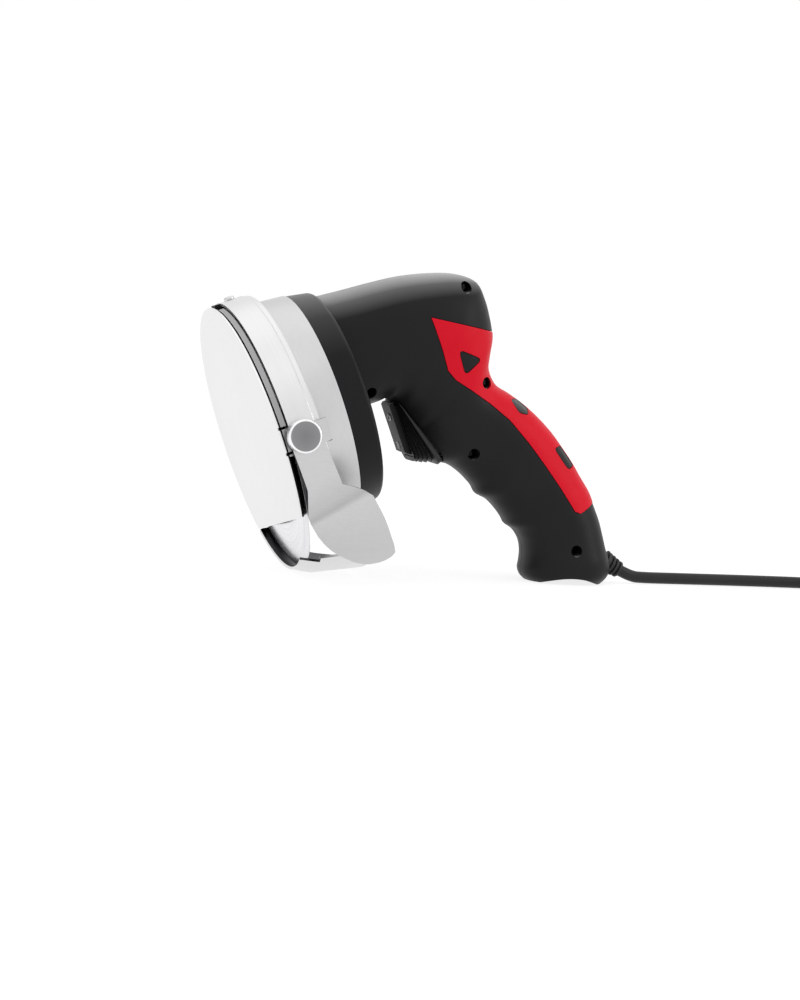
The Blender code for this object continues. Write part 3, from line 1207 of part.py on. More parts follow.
def make_inlay(name, side):
    """The red inlay of one shell, with room for the islands and a screw."""
    wide = BARREL_HALF + OVERRUN
    low, high = sorted((side * PART_LINE / 2, side * wide))
    inlay = housing_loft(f"{name}_inlay", -INLAY_PROUD, RING_COUNT, SECTION_STEPS, look=RED)
    boolean(inlay, "INTERSECT", [side_prism(f"{name}_inlay_zone", INLAY_SHARES, 0, low, high)])
    carve(inlay, housing_loft(f"{name}_inlay_back", INLAY_DEPTH - GAP, RING_COUNT, SECTION_STEPS))
    for island, shares in ISLANDS:
        carve(inlay, side_prism(f"{name}_{island}_hole", shares, GAP, low - OVERRUN, high + OVERRUN))
    if side < 0:
        for index, place in enumerate(HOUSING_SCREWS):
            carve(inlay, rod(f"inlay_sink_{index + 1}", SINK_R, SINK_FLOOR, wide, place))


def make_housing():
    """Both shells, their inlays and the screws that close them."""
    cutters = housing_cutters()
    wide = BARREL_HALF + OVERRUN
    reach = 2 * HANDLE_REACH
    for name, side in (("left", -1), ("right", 1)):
        edges = sorted((side * PART_LINE / 2, -side * wide))
        other = box(f"{name}_other_half", (-reach, edges[0], -reach), (reach, edges[1], reach), TOOL)
        shell = housing_loft(f"{name}_housing", 0, RING_COUNT, SECTION_STEPS, look=BLACK)
        carve(shell, *cutters, other)
        make_inlay(name, side)
    for index, place in enumerate(HOUSING_SCREWS):
        screw(f"housing_screw_{index + 1}", PEG_R, PEG_HEAD_R, PEG_HEAD_T,
              PEG_DEPTH + SINK_FLOOR - GAP, SINK_FLOOR + GAP, place)


def coil_points():
    """The coiled cord: a spiral in, a climb in half a turn, and a spiral out.
    It starts and ends on the far side, straight along X."""
    points = [Vector((COIL_X - COIL_LEAD, CASE_Y, COIL_REST))]
    half_turn = COIL_POINTS // 2
    steps = round(COIL_TURNS * COIL_POINTS)
    for i in range(2 * steps + half_turn + 1):
        turn = math.pi / 2 - math.tau * i / COIL_POINTS
        inward = min(i, 2 * steps + half_turn - i)
        radius = COIL_OUTER_R - COIL_PITCH * inward / COIL_POINTS
        height = COIL_REST + COIL_LIFT * smooth((i - steps) / half_turn)
        points.append(Vector((COIL_X + radius * math.cos(turn), COIL_Y + radius * math.sin(turn), height)))
    points.append(points[-1] + Vector((COIL_LEAD, 0, 0)))
    return points


def least_gap(points):
    """The least gap between a tube's passes beside and over each other."""
    apart = COIL_POINTS // 2
    best = math.inf
    for i, point in enumerate(points):
        for other, following in zip(points[i + apart:], points[i + apart + 1:]):
            run = following - other
            part = min(max((point - other).dot(run) / run.length_squared, 0), 1)
            best = min(best, (other + run * part - point).length)
    return best - 2 * CORD_R


def make_cord():
    """The free stretch, the coil beyond it and the tail, whose end it gives."""
    length = sum((Vector(b) - Vector(a)).length for a, b in zip(CORD_ROUTE, CORD_ROUTE[1:]))
    count = math.ceil(length / CORD_STEP)
    stretch = [Vector(between(CORD_ROUTE, i / count)) for i in range(count + 1)]
    stretch[0] = CORD_START
    tube("cord", stretch, RUBBER, 2)
    coil = coil_points()
    print(f"least gap in the coil: {least_gap(coil) / MM:.2f} mm")
    tube("cord_coil", coil, RUBBER, 1)
    start = coil[-1] + Vector((GAP, 0, 0))
    parts = [i / TAIL_SPANS for i in range(TAIL_SPANS + 1)]
    tail = [start + Vector((TAIL * part, 0, -TAIL_DROP * smooth(part))) for part in parts]
    tube("cord_tail", tail, RUBBER, 2)
    return tail[-1]


def make_plug(end):
    """A flat two-pin plug, lying on its broad side."""
    plug = turned_frame("plug", None, end + Vector((GAP, 0, 0)), math.pi / 2)
    rings = []
    for along, grow in PLUG_SHARES:
        high = PLUG_NECK_R + (PLUG_HALF_HEIGHT - PLUG_NECK_R) * smooth(grow * 2)
        wide = PLUG_NECK_R + (PLUG_HALF_WIDTH - PLUG_NECK_R) * grow
        power = 1 + (PLUG_POWER - 1) * grow
        section = rounded_section(high, wide, power, SMALL_STEPS)
        rings.append([Vector((x, y, along * PLUG_LENGTH)) for x, y in section])
    body = skin("plug_body", rings, plug, BLACK)
    low = PLUG_LENGTH - PIN_SEAT
    for index, side in enumerate((-1, 1)):
        centre = (0, side * PIN_HALF_SPACING)
        carve(body, rod(f"pin_hole_{index + 1}", PIN_R + GAP, low, PLUG_LENGTH + OVERRUN, plug, place=centre,
                        steps=SCREW_STEPS))
        rod(f"plug_pin_{index + 1}", PIN_R, low + GAP, PLUG_LENGTH + PIN_LENGTH, plug, BRASS, place=centre,
            steps=SCREW_STEPS)


make_gear_case()
make_drum()
make_pan()
make_blade()
make_blade_flange()
make_spindle()
make_gears()
make_motor_frame()
make_rotor()
make_head_screws()
make_front_cover()
make_clips()
make_lower_guard()
make_thickness_guide()
make_knob()
make_housing()
make_switch()
make_cord_grip()
make_plug(make_cord())
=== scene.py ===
"""Looks of the electric kebab slicer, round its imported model."""

import json
import math

import bmesh
import bpy
from mathutils import Matrix, Vector

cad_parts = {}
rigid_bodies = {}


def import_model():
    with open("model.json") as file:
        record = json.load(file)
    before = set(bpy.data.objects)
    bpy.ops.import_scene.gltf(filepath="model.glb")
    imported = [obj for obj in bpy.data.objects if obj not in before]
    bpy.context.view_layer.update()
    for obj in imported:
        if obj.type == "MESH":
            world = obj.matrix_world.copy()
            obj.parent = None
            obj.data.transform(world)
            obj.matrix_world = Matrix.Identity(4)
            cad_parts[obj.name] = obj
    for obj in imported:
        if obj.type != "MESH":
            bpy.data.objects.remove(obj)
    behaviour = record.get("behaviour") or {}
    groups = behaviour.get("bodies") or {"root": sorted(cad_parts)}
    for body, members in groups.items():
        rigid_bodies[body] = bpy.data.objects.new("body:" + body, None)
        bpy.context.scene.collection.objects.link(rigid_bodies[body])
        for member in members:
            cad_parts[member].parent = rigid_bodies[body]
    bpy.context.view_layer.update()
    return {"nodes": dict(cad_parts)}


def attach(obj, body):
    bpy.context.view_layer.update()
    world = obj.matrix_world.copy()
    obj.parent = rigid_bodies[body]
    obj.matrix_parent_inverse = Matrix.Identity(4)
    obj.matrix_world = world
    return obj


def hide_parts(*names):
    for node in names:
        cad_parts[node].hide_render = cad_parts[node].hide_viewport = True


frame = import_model()

MM = 0.001
ROOT = "tool"


def shown(name, data):
    """A new object in the scene."""
    made = bpy.data.objects.new(name, data)
    bpy.context.scene.collection.objects.link(made)
    return made


# Camera, at the photograph's place
CAMERA_PLACE = (-0.416923, -1.36118, 0.15213)
CAMERA_RIGHT = (0.9572059, -0.2813571, 0.0677866)
CAMERA_UP = (-0.0416552, 0.0978457, 0.9943295)
CAMERA_BACK = (-0.2863942, -0.9546017, 0.0819385)
LENS = 110.472

camera_data = bpy.data.cameras.new("camera")
camera_data.lens = LENS
camera_data.sensor_width = 36
camera_data.clip_end = 20
camera = shown("camera", camera_data)
turn = Matrix((CAMERA_RIGHT, CAMERA_UP, CAMERA_BACK)).transposed().to_4x4()
camera.matrix_world = Matrix.Translation(CAMERA_PLACE) @ turn
bpy.context.scene.camera = camera


# Sizes

# Clearances and facets that every piece shares
GAP = 0.3 * MM            # between pieces that seat on each other
OVERRUN = 6.0 * MM        # how far a cutter runs past what it cuts
MERGE = 0.01 * MM         # points this close become one, and joined forms overlap by it
ROUND_STEPS = 192         # large turned pieces
SMALL_STEPS = 48          # bosses, bearings, shafts
SCREW_STEPS = 24
EDGE_STEPS = 6            # facets of a rounded edge

# The middle of the gear case's rear face, along and across the table
CASE_X = -38.6 * MM
CASE_Y = 3.9 * MM

# Gear case and drum. Depths run forward along the blade's axis from the
# case's rear face
TILT = math.radians(21)
AXIS_DROP = 6.5 * MM      # the blade's axis lies this far below the case's middle
CASE_DEPTH = 12.5 * MM
CASE_REAR_R = 50.2 * MM
CASE_FRONT_R = 51.8 * MM
CASE_EDGE_R = 2.4 * MM
CASE_WALL = 3.0 * MM
CASE_FLOOR = 3.2 * MM
DRUM_DEPTH = 14.7 * MM
DRUM_REAR_R = 52.2 * MM
DRUM_FRONT_R = 53.2 * MM
DRUM_WALL = 2.4 * MM
DRUM_FLOOR = 3.0 * MM
DRUM_EDGE_R = 1.0 * MM
DRUM_NOSE = 2.2 * MM      # how far its bearing boss passes through the pan

# Pan round the blade, with a straight cut under the axis
RIM_R = 64.5 * MM         # outside of the pan's band and of the front cover
PAN_DEPTH = 14.7 * MM
PAN_FLOOR = 1.5 * MM
BAND_WALL = 1.3 * MM
BAND_STEP = 0.7 * MM      # the band's rear edge is this much smaller
BAND_STEP_DEPTH = 2.6 * MM
CHORD = 40.0 * MM
CHORD_TURN = math.radians(9.5)
RELIEF_TURNS = (math.radians(55), math.radians(88))
RELIEF_DEPTH = 3.0 * MM   # the band's front edge is lower beside the knob

# Blade, dished at its middle so that its screw stays behind the cover
BLADE_GAP = 0.7 * MM
BLADE_T = 1.2 * MM
BLADE_R = 61.5 * MM
BLADE_BEVEL = 4.0 * MM
BLADE_EDGE = 0.25 * MM
BLADE_DISH = 2.6 * MM
DISH_R = 34.0 * MM
DISH_SLOPE = 7.0 * MM
BLADE_HOLE_R = 6.0 * MM
KEYWAY = 29.6 * MM        # length of the slot across its middle
KEYWAY_WIDTH = 4.0 * MM
PULLER_PLACE = 27.6 * MM
PULLER_R = 2.4 * MM

# Front cover, its tab and the clips behind it
COVER_GAP = 1.0 * MM
COVER_RIM = 2.2 * MM
FACE_T = 1.0 * MM         # the disc in front of the skirt
FACE_EDGE_R = 0.35 * MM
FACE_R = 63.7 * MM
GROOVE = 1.0 * MM         # width and depth of the groove behind the disc
SKIRT_IN = 1.35 * MM
SKIRT_WALL = 1.1 * MM
SKIRT_OPENING = 0.7 * MM  # between the skirt and the band
# Where the skirt is left out
SKIRT_BARE_TURNS = ((math.radians(50), math.radians(87.6)), (math.radians(173), math.radians(197)))
TAB_REACH = 1.2 * MM      # how far the tab passes into the band
TAB_TURN = math.radians(94.2)
TAB_HALF = 5.9 * MM
NOTCH_WIDTH = 1.2 * MM
NOTCH_SHORT_SHARE = 0.75  # of its width, from the cover's front to its round end
NOTCH_END_SHARE = 0.62
CLIP_TURNS = (math.radians(184), math.radians(-46.5))
CLIP_HALF = 3.8 * MM
CLIP_T = 0.9 * MM
CLIP_REACH = 12.2 * MM
CLIP_SCREW_BACK = 5.6 * MM
CLIP_SCREW_R = 1.3 * MM
CLIP_HEAD_R = 2.5 * MM
CLIP_HEAD_T = 1.2 * MM

# Bearings and spindle
SPINDLE_R = 4.0 * MM
BEARING_R = 8.0 * MM
BEARING_T = 5.0 * MM
BOSS_WALL = 3.0 * MM
SEAT_FLOOR = 2.0 * MM     # wall left under the bearings

# Gears
MODULE = 1.0 * MM
PINION_TEETH = 12
GEAR_TEETH = 42

# Motor
PILOT_R = 6.5 * MM
MOTOR_SCREW_PLACE = 11.5 * MM
MOTOR_SCREW_R = 1.4 * MM

# Screws between pan and drum
PAN_SCREWS = 3
PAN_SCREW_PLACE = 36.0 * MM
PAN_SCREW_R = 1.6 * MM
PAN_BOSS_R = 4.4 * MM
PAN_BOSS = 8.0 * MM

# Lower guard, a sheet strip from the far side to under the blade. Its turns
# are in degrees from straight down, positive towards the near side
SHEET = 1.2 * MM
LIP_DEPTH = 7.5 * MM      # the part that turns in, in front of the blade
LIP_DROP = 4.0 * MM
GUARD_FLARE = math.radians(13)
GUARD_DEPTH = 23.0 * MM   # behind the lip, under the blade
GUARD_SIDE_SHARE = 0.25   # of the lip's depth, where it lies on the band
GUARD_TURNS = (-75, 33)
GUARD_TURN_STEP = 1
GUARD_LIP_TURNS = (-42, -39)      # where the lip starts and where it is whole
GUARD_FLARE_TURNS = (-50, -20)    # the same for the flare
GUARD_SCREW_TURN = math.radians(-69)
# How far it reaches behind the lip, by its turns
GUARD_DEPTHS = [
    (-75, 11.5 * MM), (-45, 13.0 * MM), (-33, 9.0 * MM), (-24, 6.5 * MM), (-11, GUARD_DEPTH),
    (33, GUARD_DEPTH),
]
GUARD_STEP = (math.radians(29.5), math.radians(36))   # where its near end has no lip

# Thickness guide: the strap under the knob and the paddle below it
GUIDE_FORWARD = 5.6 * MM
GUIDE_BACK = 2.4 * MM
GUIDE_FLARE = math.radians(17)
GUIDE_LIFT = 1.5 * MM     # keeps the paddle outside the lower guard
GUIDE_FLARE_TURNS = (66, 42)      # degrees where the flare starts and where it is whole
GUIDE_CREASE_SLOPE = 280   # degrees for each metre behind the front edge
GUIDE_SQUEEZE = 0.11      # draws the paddle's lower end towards the strap
GUIDE_SQUEEZE_FROM = 61   # degrees, and lower
GUIDE_TURN_STEP = 1
PADDLE_DEPTH = 37.0 * MM
GUIDE_SPANS = 14
# Degrees from straight down, towards the near side, with how far the front and
# rear edges lie behind the strap's front edge, as shares of PADDLE_DEPTH
GUIDE_EDGE_SHARES = [
    (27, 0.660, 0.715), (28, 0.605, 0.810), (30, 0.514, 0.892), (33, 0.432, 0.959),
    (36, 0.351, 0.995), (40, 0.257, 0.980), (45, 0.173, 0.949), (50, 0.105, 0.922),
    (57, 0.043, 0.881), (61, 0.026, 0.853), (63.5, 0.035, 0.838), (66, 0.046, 0.749), (68.5, 0.058, 0.622),
    (70.6, 0.070, 0.516), (72.6, 0.080, 0.508), (87, 0.040, 0.444), (89, 0.036, 0.435), (89.4, 0.036, 0.530),
    (98.2, 0.036, 0.530),
]

# A thin dark sheet under the end of the strap, a painted shadow along its edges
STRAP_SHADOW_T = 0.2 * MM
STRAP_SHADOW_GAP = 0.02 * MM
STRAP_SHADOW_TURNS = (88.9, 98.3)
STRAP_SHADOW_SHARES = (0.445, 0.538)       # of PADDLE_DEPTH, to its front and rear edges
STRAP_SHADOW_SPANS = (14, 10)      # round the blade's axis and along it

# Knob that clamps the guide, and its stud
KNOB_TURN = math.radians(94)
KNOB_BACK = 7.4 * MM      # behind the cover's rear edge
KNOB_R = 7.5 * MM
KNOB_T = 5.0 * MM
KNOB_EDGE_R = 0.7 * MM
KNOB_FACE_R = 7.0 * MM    # the dark face inside its bright edge
KNOB_WALL = 1.4 * MM
STUD_R = 2.0 * MM
STUD_FLANGE_R = 4.0 * MM
STUD_FLANGE_T = 0.9 * MM

# Housing: two moulded shells that make barrel and grip
HANDLE_REACH = 135.8 * MM
BARREL_HALF = 27.0 * MM
HOUSING_WALL = 2.4 * MM
PART_LINE = 0.3 * MM      # gap between the shells
SECTION_POWER = 0.84      # 1 is an ellipse, less is squarer
SECTION_STEPS = 96
RING_COUNT = 140
HOLLOW_STEPS = 16
HOLLOW_RINGS = 22
HOLLOW_END_SHARE = 0.94
RIDGE_HEIGHT = 1.2 * MM   # finger ridges on the front of the grip
RIDGE_SHARES = (0.615, 0.74)
RIDGE_WIDTH_SHARE = 0.02
# Back edge, front edge and half width of each section, from the middle of the
# gear case: x by HANDLE_REACH, z by the height of the case, width by BARREL_HALF
STATION_SHARES = [
    (-0.161, 0.521, -0.016, -0.105, 1.00), (-0.032, 0.586, 0.107, -0.027, 1.00),
    (0.071, 0.641, 0.132, -0.007, 0.99), (0.175, 0.690, 0.150, 0.002, 0.98),
    (0.281, 0.718, 0.171, -0.020, 0.96), (0.367, 0.723, 0.190, -0.060, 0.93),
    (0.437, 0.689, 0.205, -0.093, 0.89), (0.470, 0.605, 0.221, -0.126, 0.85),
    (0.493, 0.502, 0.237, -0.158, 0.815), (0.507, 0.401, 0.253, -0.185, 0.78),
    (0.502, 0.304, 0.268, -0.216, 0.76), (0.501, 0.207, 0.288, -0.251, 0.74),
    (0.532, 0.115, 0.311, -0.295, 0.72), (0.585, 0.066, 0.338, -0.339, 0.70),
    (0.638, 0.012, 0.390, -0.357, 0.685), (0.693, -0.056, 0.435, -0.400, 0.67),
    (0.748, -0.140, 0.474, -0.455, 0.67), (0.797, -0.234, 0.504, -0.503, 0.67),
    (0.834, -0.312, 0.543, -0.547, 0.67), (0.867, -0.391, 0.578, -0.600, 0.67),
    (0.901, -0.470, 0.606, -0.652, 0.67), (0.926, -0.556, 0.633, -0.691, 0.67),
    (0.949, -0.641, 0.658, -0.733, 0.67), (0.966, -0.728, 0.676, -0.781, 0.685),
    (0.979, -0.797, 0.684, -0.839, 0.70), (0.993, -0.860, 0.683, -0.897, 0.715),
    (1.000, -0.919, 0.680, -0.937, 0.70), (0.990, -0.963, 0.689, -0.975, 0.67),
    (0.970, -1.000, 0.705, -1.000, 0.59),
]
ARCH_PLACE_SHARE = 0.834  # the hollow under the heel
ARCH_WIDTH = 28.0 * MM
ARCH_DEPTH = 2.8 * MM

# Red inlays, sunk in each shell, with islands of the shell left in them. Their
# outlines are shares of HANDLE_REACH and of the height of the case
INLAY_DEPTH = 1.5 * MM
INLAY_PROUD = 0.25 * MM
INLAY_SHARES = [
    (0.241, 0.475), (0.420, 0.430), (0.580, 0.390), (0.680, 0.100), (1.010, -0.430),
    (0.846, -0.590), (0.824, -0.580), (0.765, -0.450), (0.702, -0.322), (0.635, -0.195),
    (0.564, -0.077), (0.490, 0.010), (0.414, 0.080), (0.350, 0.135), (0.318, 0.185),
    (0.292, 0.290),
]
TRIANGLE_SHARES = [(0.351, 0.303), (0.441, 0.257), (0.383, 0.167)]
DIAMOND_SHARES = [(0.578, 0.035), (0.608, 0.037), (0.648, -0.012), (0.640, -0.043), (0.604, -0.034)]
LOZENGE_SHARES = [(0.743, -0.230), (0.774, -0.214), (0.828, -0.322), (0.797, -0.342)]
ISLAND_CORNER_SHARE = 0.22    # of a side, rounded at each of its ends
ISLAND_CORNER_STEPS = 4

# Screws of the housing, as the same shares
HOUSING_SCREW_SHARES = [
    (0.379, 0.654), (0.476, 0.124), (0.059, 0.034), (0.446, -0.282), (0.836, -0.805),
]
BOSS_R = 3.6 * MM
BOSS_HOLE_R = 1.7 * MM
SINK_R = 2.75 * MM
SINK_FLOOR = 7.0 * MM     # the counterbore's floor, from the part line
PEG_R = 1.4 * MM
PEG_HEAD_R = 2.4 * MM
PEG_HEAD_T = 2.0 * MM
PEG_DEPTH = 10.0 * MM

# Switch: the ribbed boot fans out from its top end, on the front of the grip
SWITCH_SHARES = (0.1635, 0.010)
SWITCH_SLOPE = math.radians(47.6)
BOOT_TURNS = (math.radians(-9), math.radians(19.5))
BOOT_START = 1.5 * MM
BOOT_LENGTH = 38.5 * MM
BOOT_HALF = 11.5 * MM
BOOT_CORNER_SHARE = 0.45
BOOT_CORNER_STEPS = 8
PLEATS = 4
PLEAT_DEPTH = 1.3 * MM
# Turn, length and half width as shares of the boot's: neck and flange, then
# the first and last pleats, then its front
BOOT_BASE_SHARES = [(0.0, 0.93, 0.85), (0.31, 0.93, 0.85), (0.33, 1.0, 1.0), (0.45, 1.0, 1.0)]
PLEAT_SHARES = [(0.50, 0.95, 0.96), (0.97, 0.83, 0.91)]
BOOT_FRONT_SHARES = (1.0, 0.825, 0.87)
ROCKER_PLACE = 16.2 * MM  # its pivot, from the boot's top end
ROCKER_LENGTH = 22.5 * MM
ROCKER_HALF = 7.0 * MM
ROCKER_PROUD = 2.8 * MM
PIVOT_DEPTH = 2.4 * MM
ROCKER_RUN = 1.0 * MM     # room for its ends to swing
# Its outline, in half lengths and in heights above its pivot
ROCKER_SHARES = [
    (-1, -0.08), (-1, 0.75), (-0.89, 1), (1.15, 1), (1.235, 0.81), (1.235, 0.56),
    (1, 0.56), (1, -0.08), (0.31, -0.5), (-0.31, -0.5),
]
PIVOT_R = 1.1 * MM
PIVOT_REACH = 0.8 * MM
SWITCH_WALL = 0.8 * MM
SWITCH_TOP = 0.3 * MM
SWITCH_RECESS = 6.5 * MM
SWITCH_DEPTH = 17.0 * MM

# Ring and bar on the rocker's face
MARK_T = 0.4 * MM
MARK_PLACE_SHARE = 0.62   # of half the rocker's length
RING_IN = (1.5 * MM, 1.15 * MM)
RING_OUT = (2.5 * MM, 1.75 * MM)
RING_STEPS = 32
BAR_SIZE = (1.4 * MM, 3.4 * MM)

# Strain relief at the heel, placed by the same shares
GRIP_SHARES = (0.9845, -0.872)
GRIP_HEADING = math.radians(-27.5)
GRIP_INSIDE = 12.0 * MM
GRIP_OUTSIDE = 9.6 * MM
GRIP_NECK_R = 4.3 * MM
GRIP_NECK = 0.6 * MM
GRIP_FLANGE_R = 5.9 * MM
GRIP_FLANGE_BACK = 6.0 * MM
GRIP_FLANGE_T = 1.8 * MM
GRIP_ROOT_R = 5.4 * MM
GRIP_TIP_R = 4.0 * MM
GRIP_RIBS = 4
GRIP_RIB_DEPTH = 0.9 * MM
RIB_SHARES = (0.2, 0.6, 0.75)     # of a rib's pitch: its top's ends and its foot

# Cord. The stretch that lies free has its own points, on the table
CORD_R = 2.75 * MM
CORD_ROUNDNESS = 4        # Blender's bevel resolution
CORD_ROUTE = [
    (104.0 * MM, 3.9 * MM, 5.95 * MM), (110.0 * MM, 3.9 * MM, 3.55 * MM),
    (116.0 * MM, 4.0 * MM, 2.87 * MM), (136.0 * MM, 4.8 * MM, 2.85 * MM),
    (162.0 * MM, 6.3 * MM, 2.85 * MM), (190.0 * MM, 6.8 * MM, 2.85 * MM),
    (218.0 * MM, 5.6 * MM, 2.85 * MM), (240.0 * MM, 4.2 * MM, 2.85 * MM),
    (255.7 * MM, 3.9 * MM, 2.85 * MM),
]
COIL_X = 262.0 * MM
COIL_REST = 2.85 * MM     # height of the lowest turns' middle
COIL_INNER_R = 21.3 * MM
COIL_PITCH = 6.0 * MM
COIL_LIFT = 5.95 * MM
COIL_TURNS = 3.75         # in each of the two layers, apart from the climb
COIL_LEAD = 6.0 * MM      # straight run at each end
COIL_STEPS = 48           # points in each turn
CORD_SPAN = 4.0 * MM      # between the points of the stretch that lies free
TAIL = 22.0 * MM
TAIL_DROP = 1.6 * MM
TAIL_SPANS = 8

# Plug
PLUG_LENGTH = 34.0 * MM
PLUG_HALF_WIDTH = 17.5 * MM
PLUG_HALF_HEIGHT = 7.1 * MM
PLUG_NECK_R = 4.4 * MM
PLUG_POWER = 0.6          # of its section where it is widest, as SECTION_POWER
# Place along the plug, and how far it has widened from its neck
PLUG_SHARES = [
    (0, 0), (0.30, 0.04), (0.45, 0.2), (0.58, 0.62), (0.70, 0.86), (0.85, 0.97), (0.97, 1.0), (1, 0.95),
]
PIN_R = 2.4 * MM
PIN_LENGTH = 19.0 * MM
PIN_HALF_SPACING = 9.5 * MM
PIN_SEAT = 8.0 * MM

# Screw heads with a cross recess: its reach, half width and depth
CROSS_SHARES = (0.62, 0.14, 0.4)
SHARP = 30                # degrees between faces that shading keeps apart

# Worked out from the sizes above
FACET = math.cos(math.pi / ROUND_STEPS)   # a facet's middle, as a share of its radius
DRUM_REAR = CASE_DEPTH + GAP
DRUM_FRONT = DRUM_REAR + DRUM_DEPTH
PAN_REAR = DRUM_FRONT + GAP
PAN_FRONT = PAN_REAR + PAN_DEPTH
BLADE_REAR = PAN_FRONT + BLADE_GAP
BLADE_FRONT = BLADE_REAR + BLADE_T
COVER_REAR = BLADE_FRONT + COVER_GAP
COVER_FRONT = COVER_REAR + COVER_RIM
FACE_REAR = COVER_FRONT - FACE_T
GROOVE_REAR = FACE_REAR - GROOVE
SKIRT_R = RIM_R - SKIRT_IN
SKIRT_REAR = PAN_FRONT + SKIRT_OPENING
DISH_REAR = BLADE_REAR - BLADE_DISH
DISH_FRONT = BLADE_FRONT - BLADE_DISH
STRAP_R = RIM_R + GAP     # inside of the guide's strap and of the lower guard
LIP_START = COVER_FRONT - LIP_DEPTH
CASE_Z = (AXIS_DROP + STRAP_R) * math.cos(TILT) + LIP_START * math.sin(TILT) + SHEET
BLADE_CENTRE = Vector((CASE_X + AXIS_DROP * math.sin(TILT), CASE_Y, CASE_Z - AXIS_DROP * math.cos(TILT)))
AXIS = Vector((-math.cos(TILT), 0, -math.sin(TILT)))      # forward along the blade's axis
GEAR_CENTRES = MODULE * (PINION_TEETH + GEAR_TEETH) / 2
BEARING_BORE_R = SPINDLE_R + GAP
SEAT_R = BEARING_R + GAP
BOSS_OUTER_R = SEAT_R + BOSS_WALL
REAR_BEARING = SEAT_FLOOR + GAP
FRONT_SHOULDER = DRUM_FRONT - SEAT_FLOOR
FRONT_BEARING = FRONT_SHOULDER - GAP - BEARING_T
BAND_INNER_R = RIM_R - BAND_WALL
BAND_SEAT_R = (BAND_INNER_R - GAP) * FACET    # what lies flat inside the band
KNOB_SEAT = STRAP_R + SHEET + GAP
KNOB_DEPTH = COVER_REAR - KNOB_BACK
KNOB_CENTRE = BLADE_CENTRE + AXIS * KNOB_DEPTH
KNOB_AXIS = Vector((math.cos(KNOB_TURN) * math.sin(TILT), -math.sin(KNOB_TURN),
                    -math.cos(KNOB_TURN) * math.cos(TILT)))
CLIP_SCREW_DEPTH = PAN_FRONT - CLIP_SCREW_BACK
COIL_OUTER_R = COIL_INNER_R + (COIL_TURNS + 1 / 4) * COIL_PITCH
COIL_Y = CASE_Y - COIL_OUTER_R


# Materials

GRAIN_DEPTH = 0.04 * MM
WEAR_DEPTH = 0.5 * MM
BRUSH_DEPTH = 0.02 * MM
KNOB_BRUSH_DEPTH = 0.01 * MM
BRUSH_WANDER = 2.0 * MM   # how much the brushed rings change on their way round
# Painted shade in the groove behind the cover's disc, and a grey painted shade on the skirt behind it
GROOVE_PAINTED_SHADE = (0.02, 0.02, 0.02)
GROOVE_MARGINS = (0.05 * MM, 0.02 * MM)   # painted shade runs this far past its rear and front faces
SKIRT_PAINTED_SHADE = (0.34, 0.34, 0.345)
CREASE_SPREAD = 40        # degrees that the painted shade along the guide's crease covers
# where the painted shade along the crease lies, in degrees
CREASE_TURN = 57.5


def ramp(tree, source, stops):
    """Shades or colours by a value, each stop with its place."""
    node = tree.nodes.new("ShaderNodeValToRGB")
    while len(node.color_ramp.elements) < len(stops):
        node.color_ramp.elements.new(0.5)
    for element, (place, colour) in zip(node.color_ramp.elements, stops):
        element.position = place
        element.color = (*colour, 1) if isinstance(colour, tuple) else (colour, colour, colour, 1)
    tree.links.new(source, node.inputs[0])
    return node.outputs[0]


def noise(tree, vector, scale, detail=3.0, rough=0.55):
    node = tree.nodes.new("ShaderNodeTexNoise")
    node.inputs["Scale"].default_value = scale
    node.inputs["Detail"].default_value = detail
    node.inputs["Roughness"].default_value = rough
    tree.links.new(vector, node.inputs["Vector"])
    return node.outputs["Fac"]


def feed(tree, socket, value):
    """Links a socket to another one, or sets its number, vector or colour."""
    if isinstance(value, bpy.types.NodeSocket):
        tree.links.new(value, socket)
    elif socket.type == "RGBA":
        socket.default_value = (*value, 1)
    else:
        socket.default_value = value


def operation_node(kind, tree, operation, values, output=0):
    """An output of a node that works on its values in their order."""
    node = tree.nodes.new(kind)
    node.operation = operation
    for socket, value in zip(node.inputs, values):
        feed(tree, socket, value)
    return node.outputs[output]


def math_node(tree, operation, *values):
    return operation_node("ShaderNodeMath", tree, operation, values)


def plus(tree, first, second):
    return math_node(tree, "ADD", first, second)


def times(tree, first, second):
    return math_node(tree, "MULTIPLY", first, second)


def vector_node(tree, operation, first, second):
    return operation_node("ShaderNodeVectorMath", tree, operation, (first, second))


def dot(tree, first, second):
    return operation_node("ShaderNodeVectorMath", tree, "DOT_PRODUCT", (first, second), 1)


def size_of(tree, vector):
    return operation_node("ShaderNodeVectorMath", tree, "LENGTH", (vector,), 1)


def part_of(tree, vector, axis):
    split = tree.nodes.new("ShaderNodeSeparateXYZ")
    tree.links.new(vector, split.inputs[0])
    return split.outputs[axis]


def mix(tree, share, first, second, blend="MIX"):
    """The first colour where the share is 0 and the second where it is 1."""
    node = tree.nodes.new("ShaderNodeMix")
    node.data_type = "RGBA"
    node.blend_type = blend
    for index, value in ((0, share), (6, first), (7, second)):
        feed(tree, node.inputs[index], value)
    return node.outputs[2]


def material(name, colour, roughness, metallic=0.0, **sockets):
    """A material with its node tree, its shader and the place on its piece."""
    made = bpy.data.materials.new(name)
    made.use_nodes = True
    tree = made.node_tree
    shader = tree.nodes["Principled BSDF"]
    values = {"Base Color": colour, "Roughness": roughness, "Metallic": metallic, **sockets}
    for key, value in values.items():
        feed(tree, shader.inputs[key.replace("_", " ")], value)
    place = tree.nodes.new("ShaderNodeTexCoord").outputs["Object"]
    return made, tree, shader, place


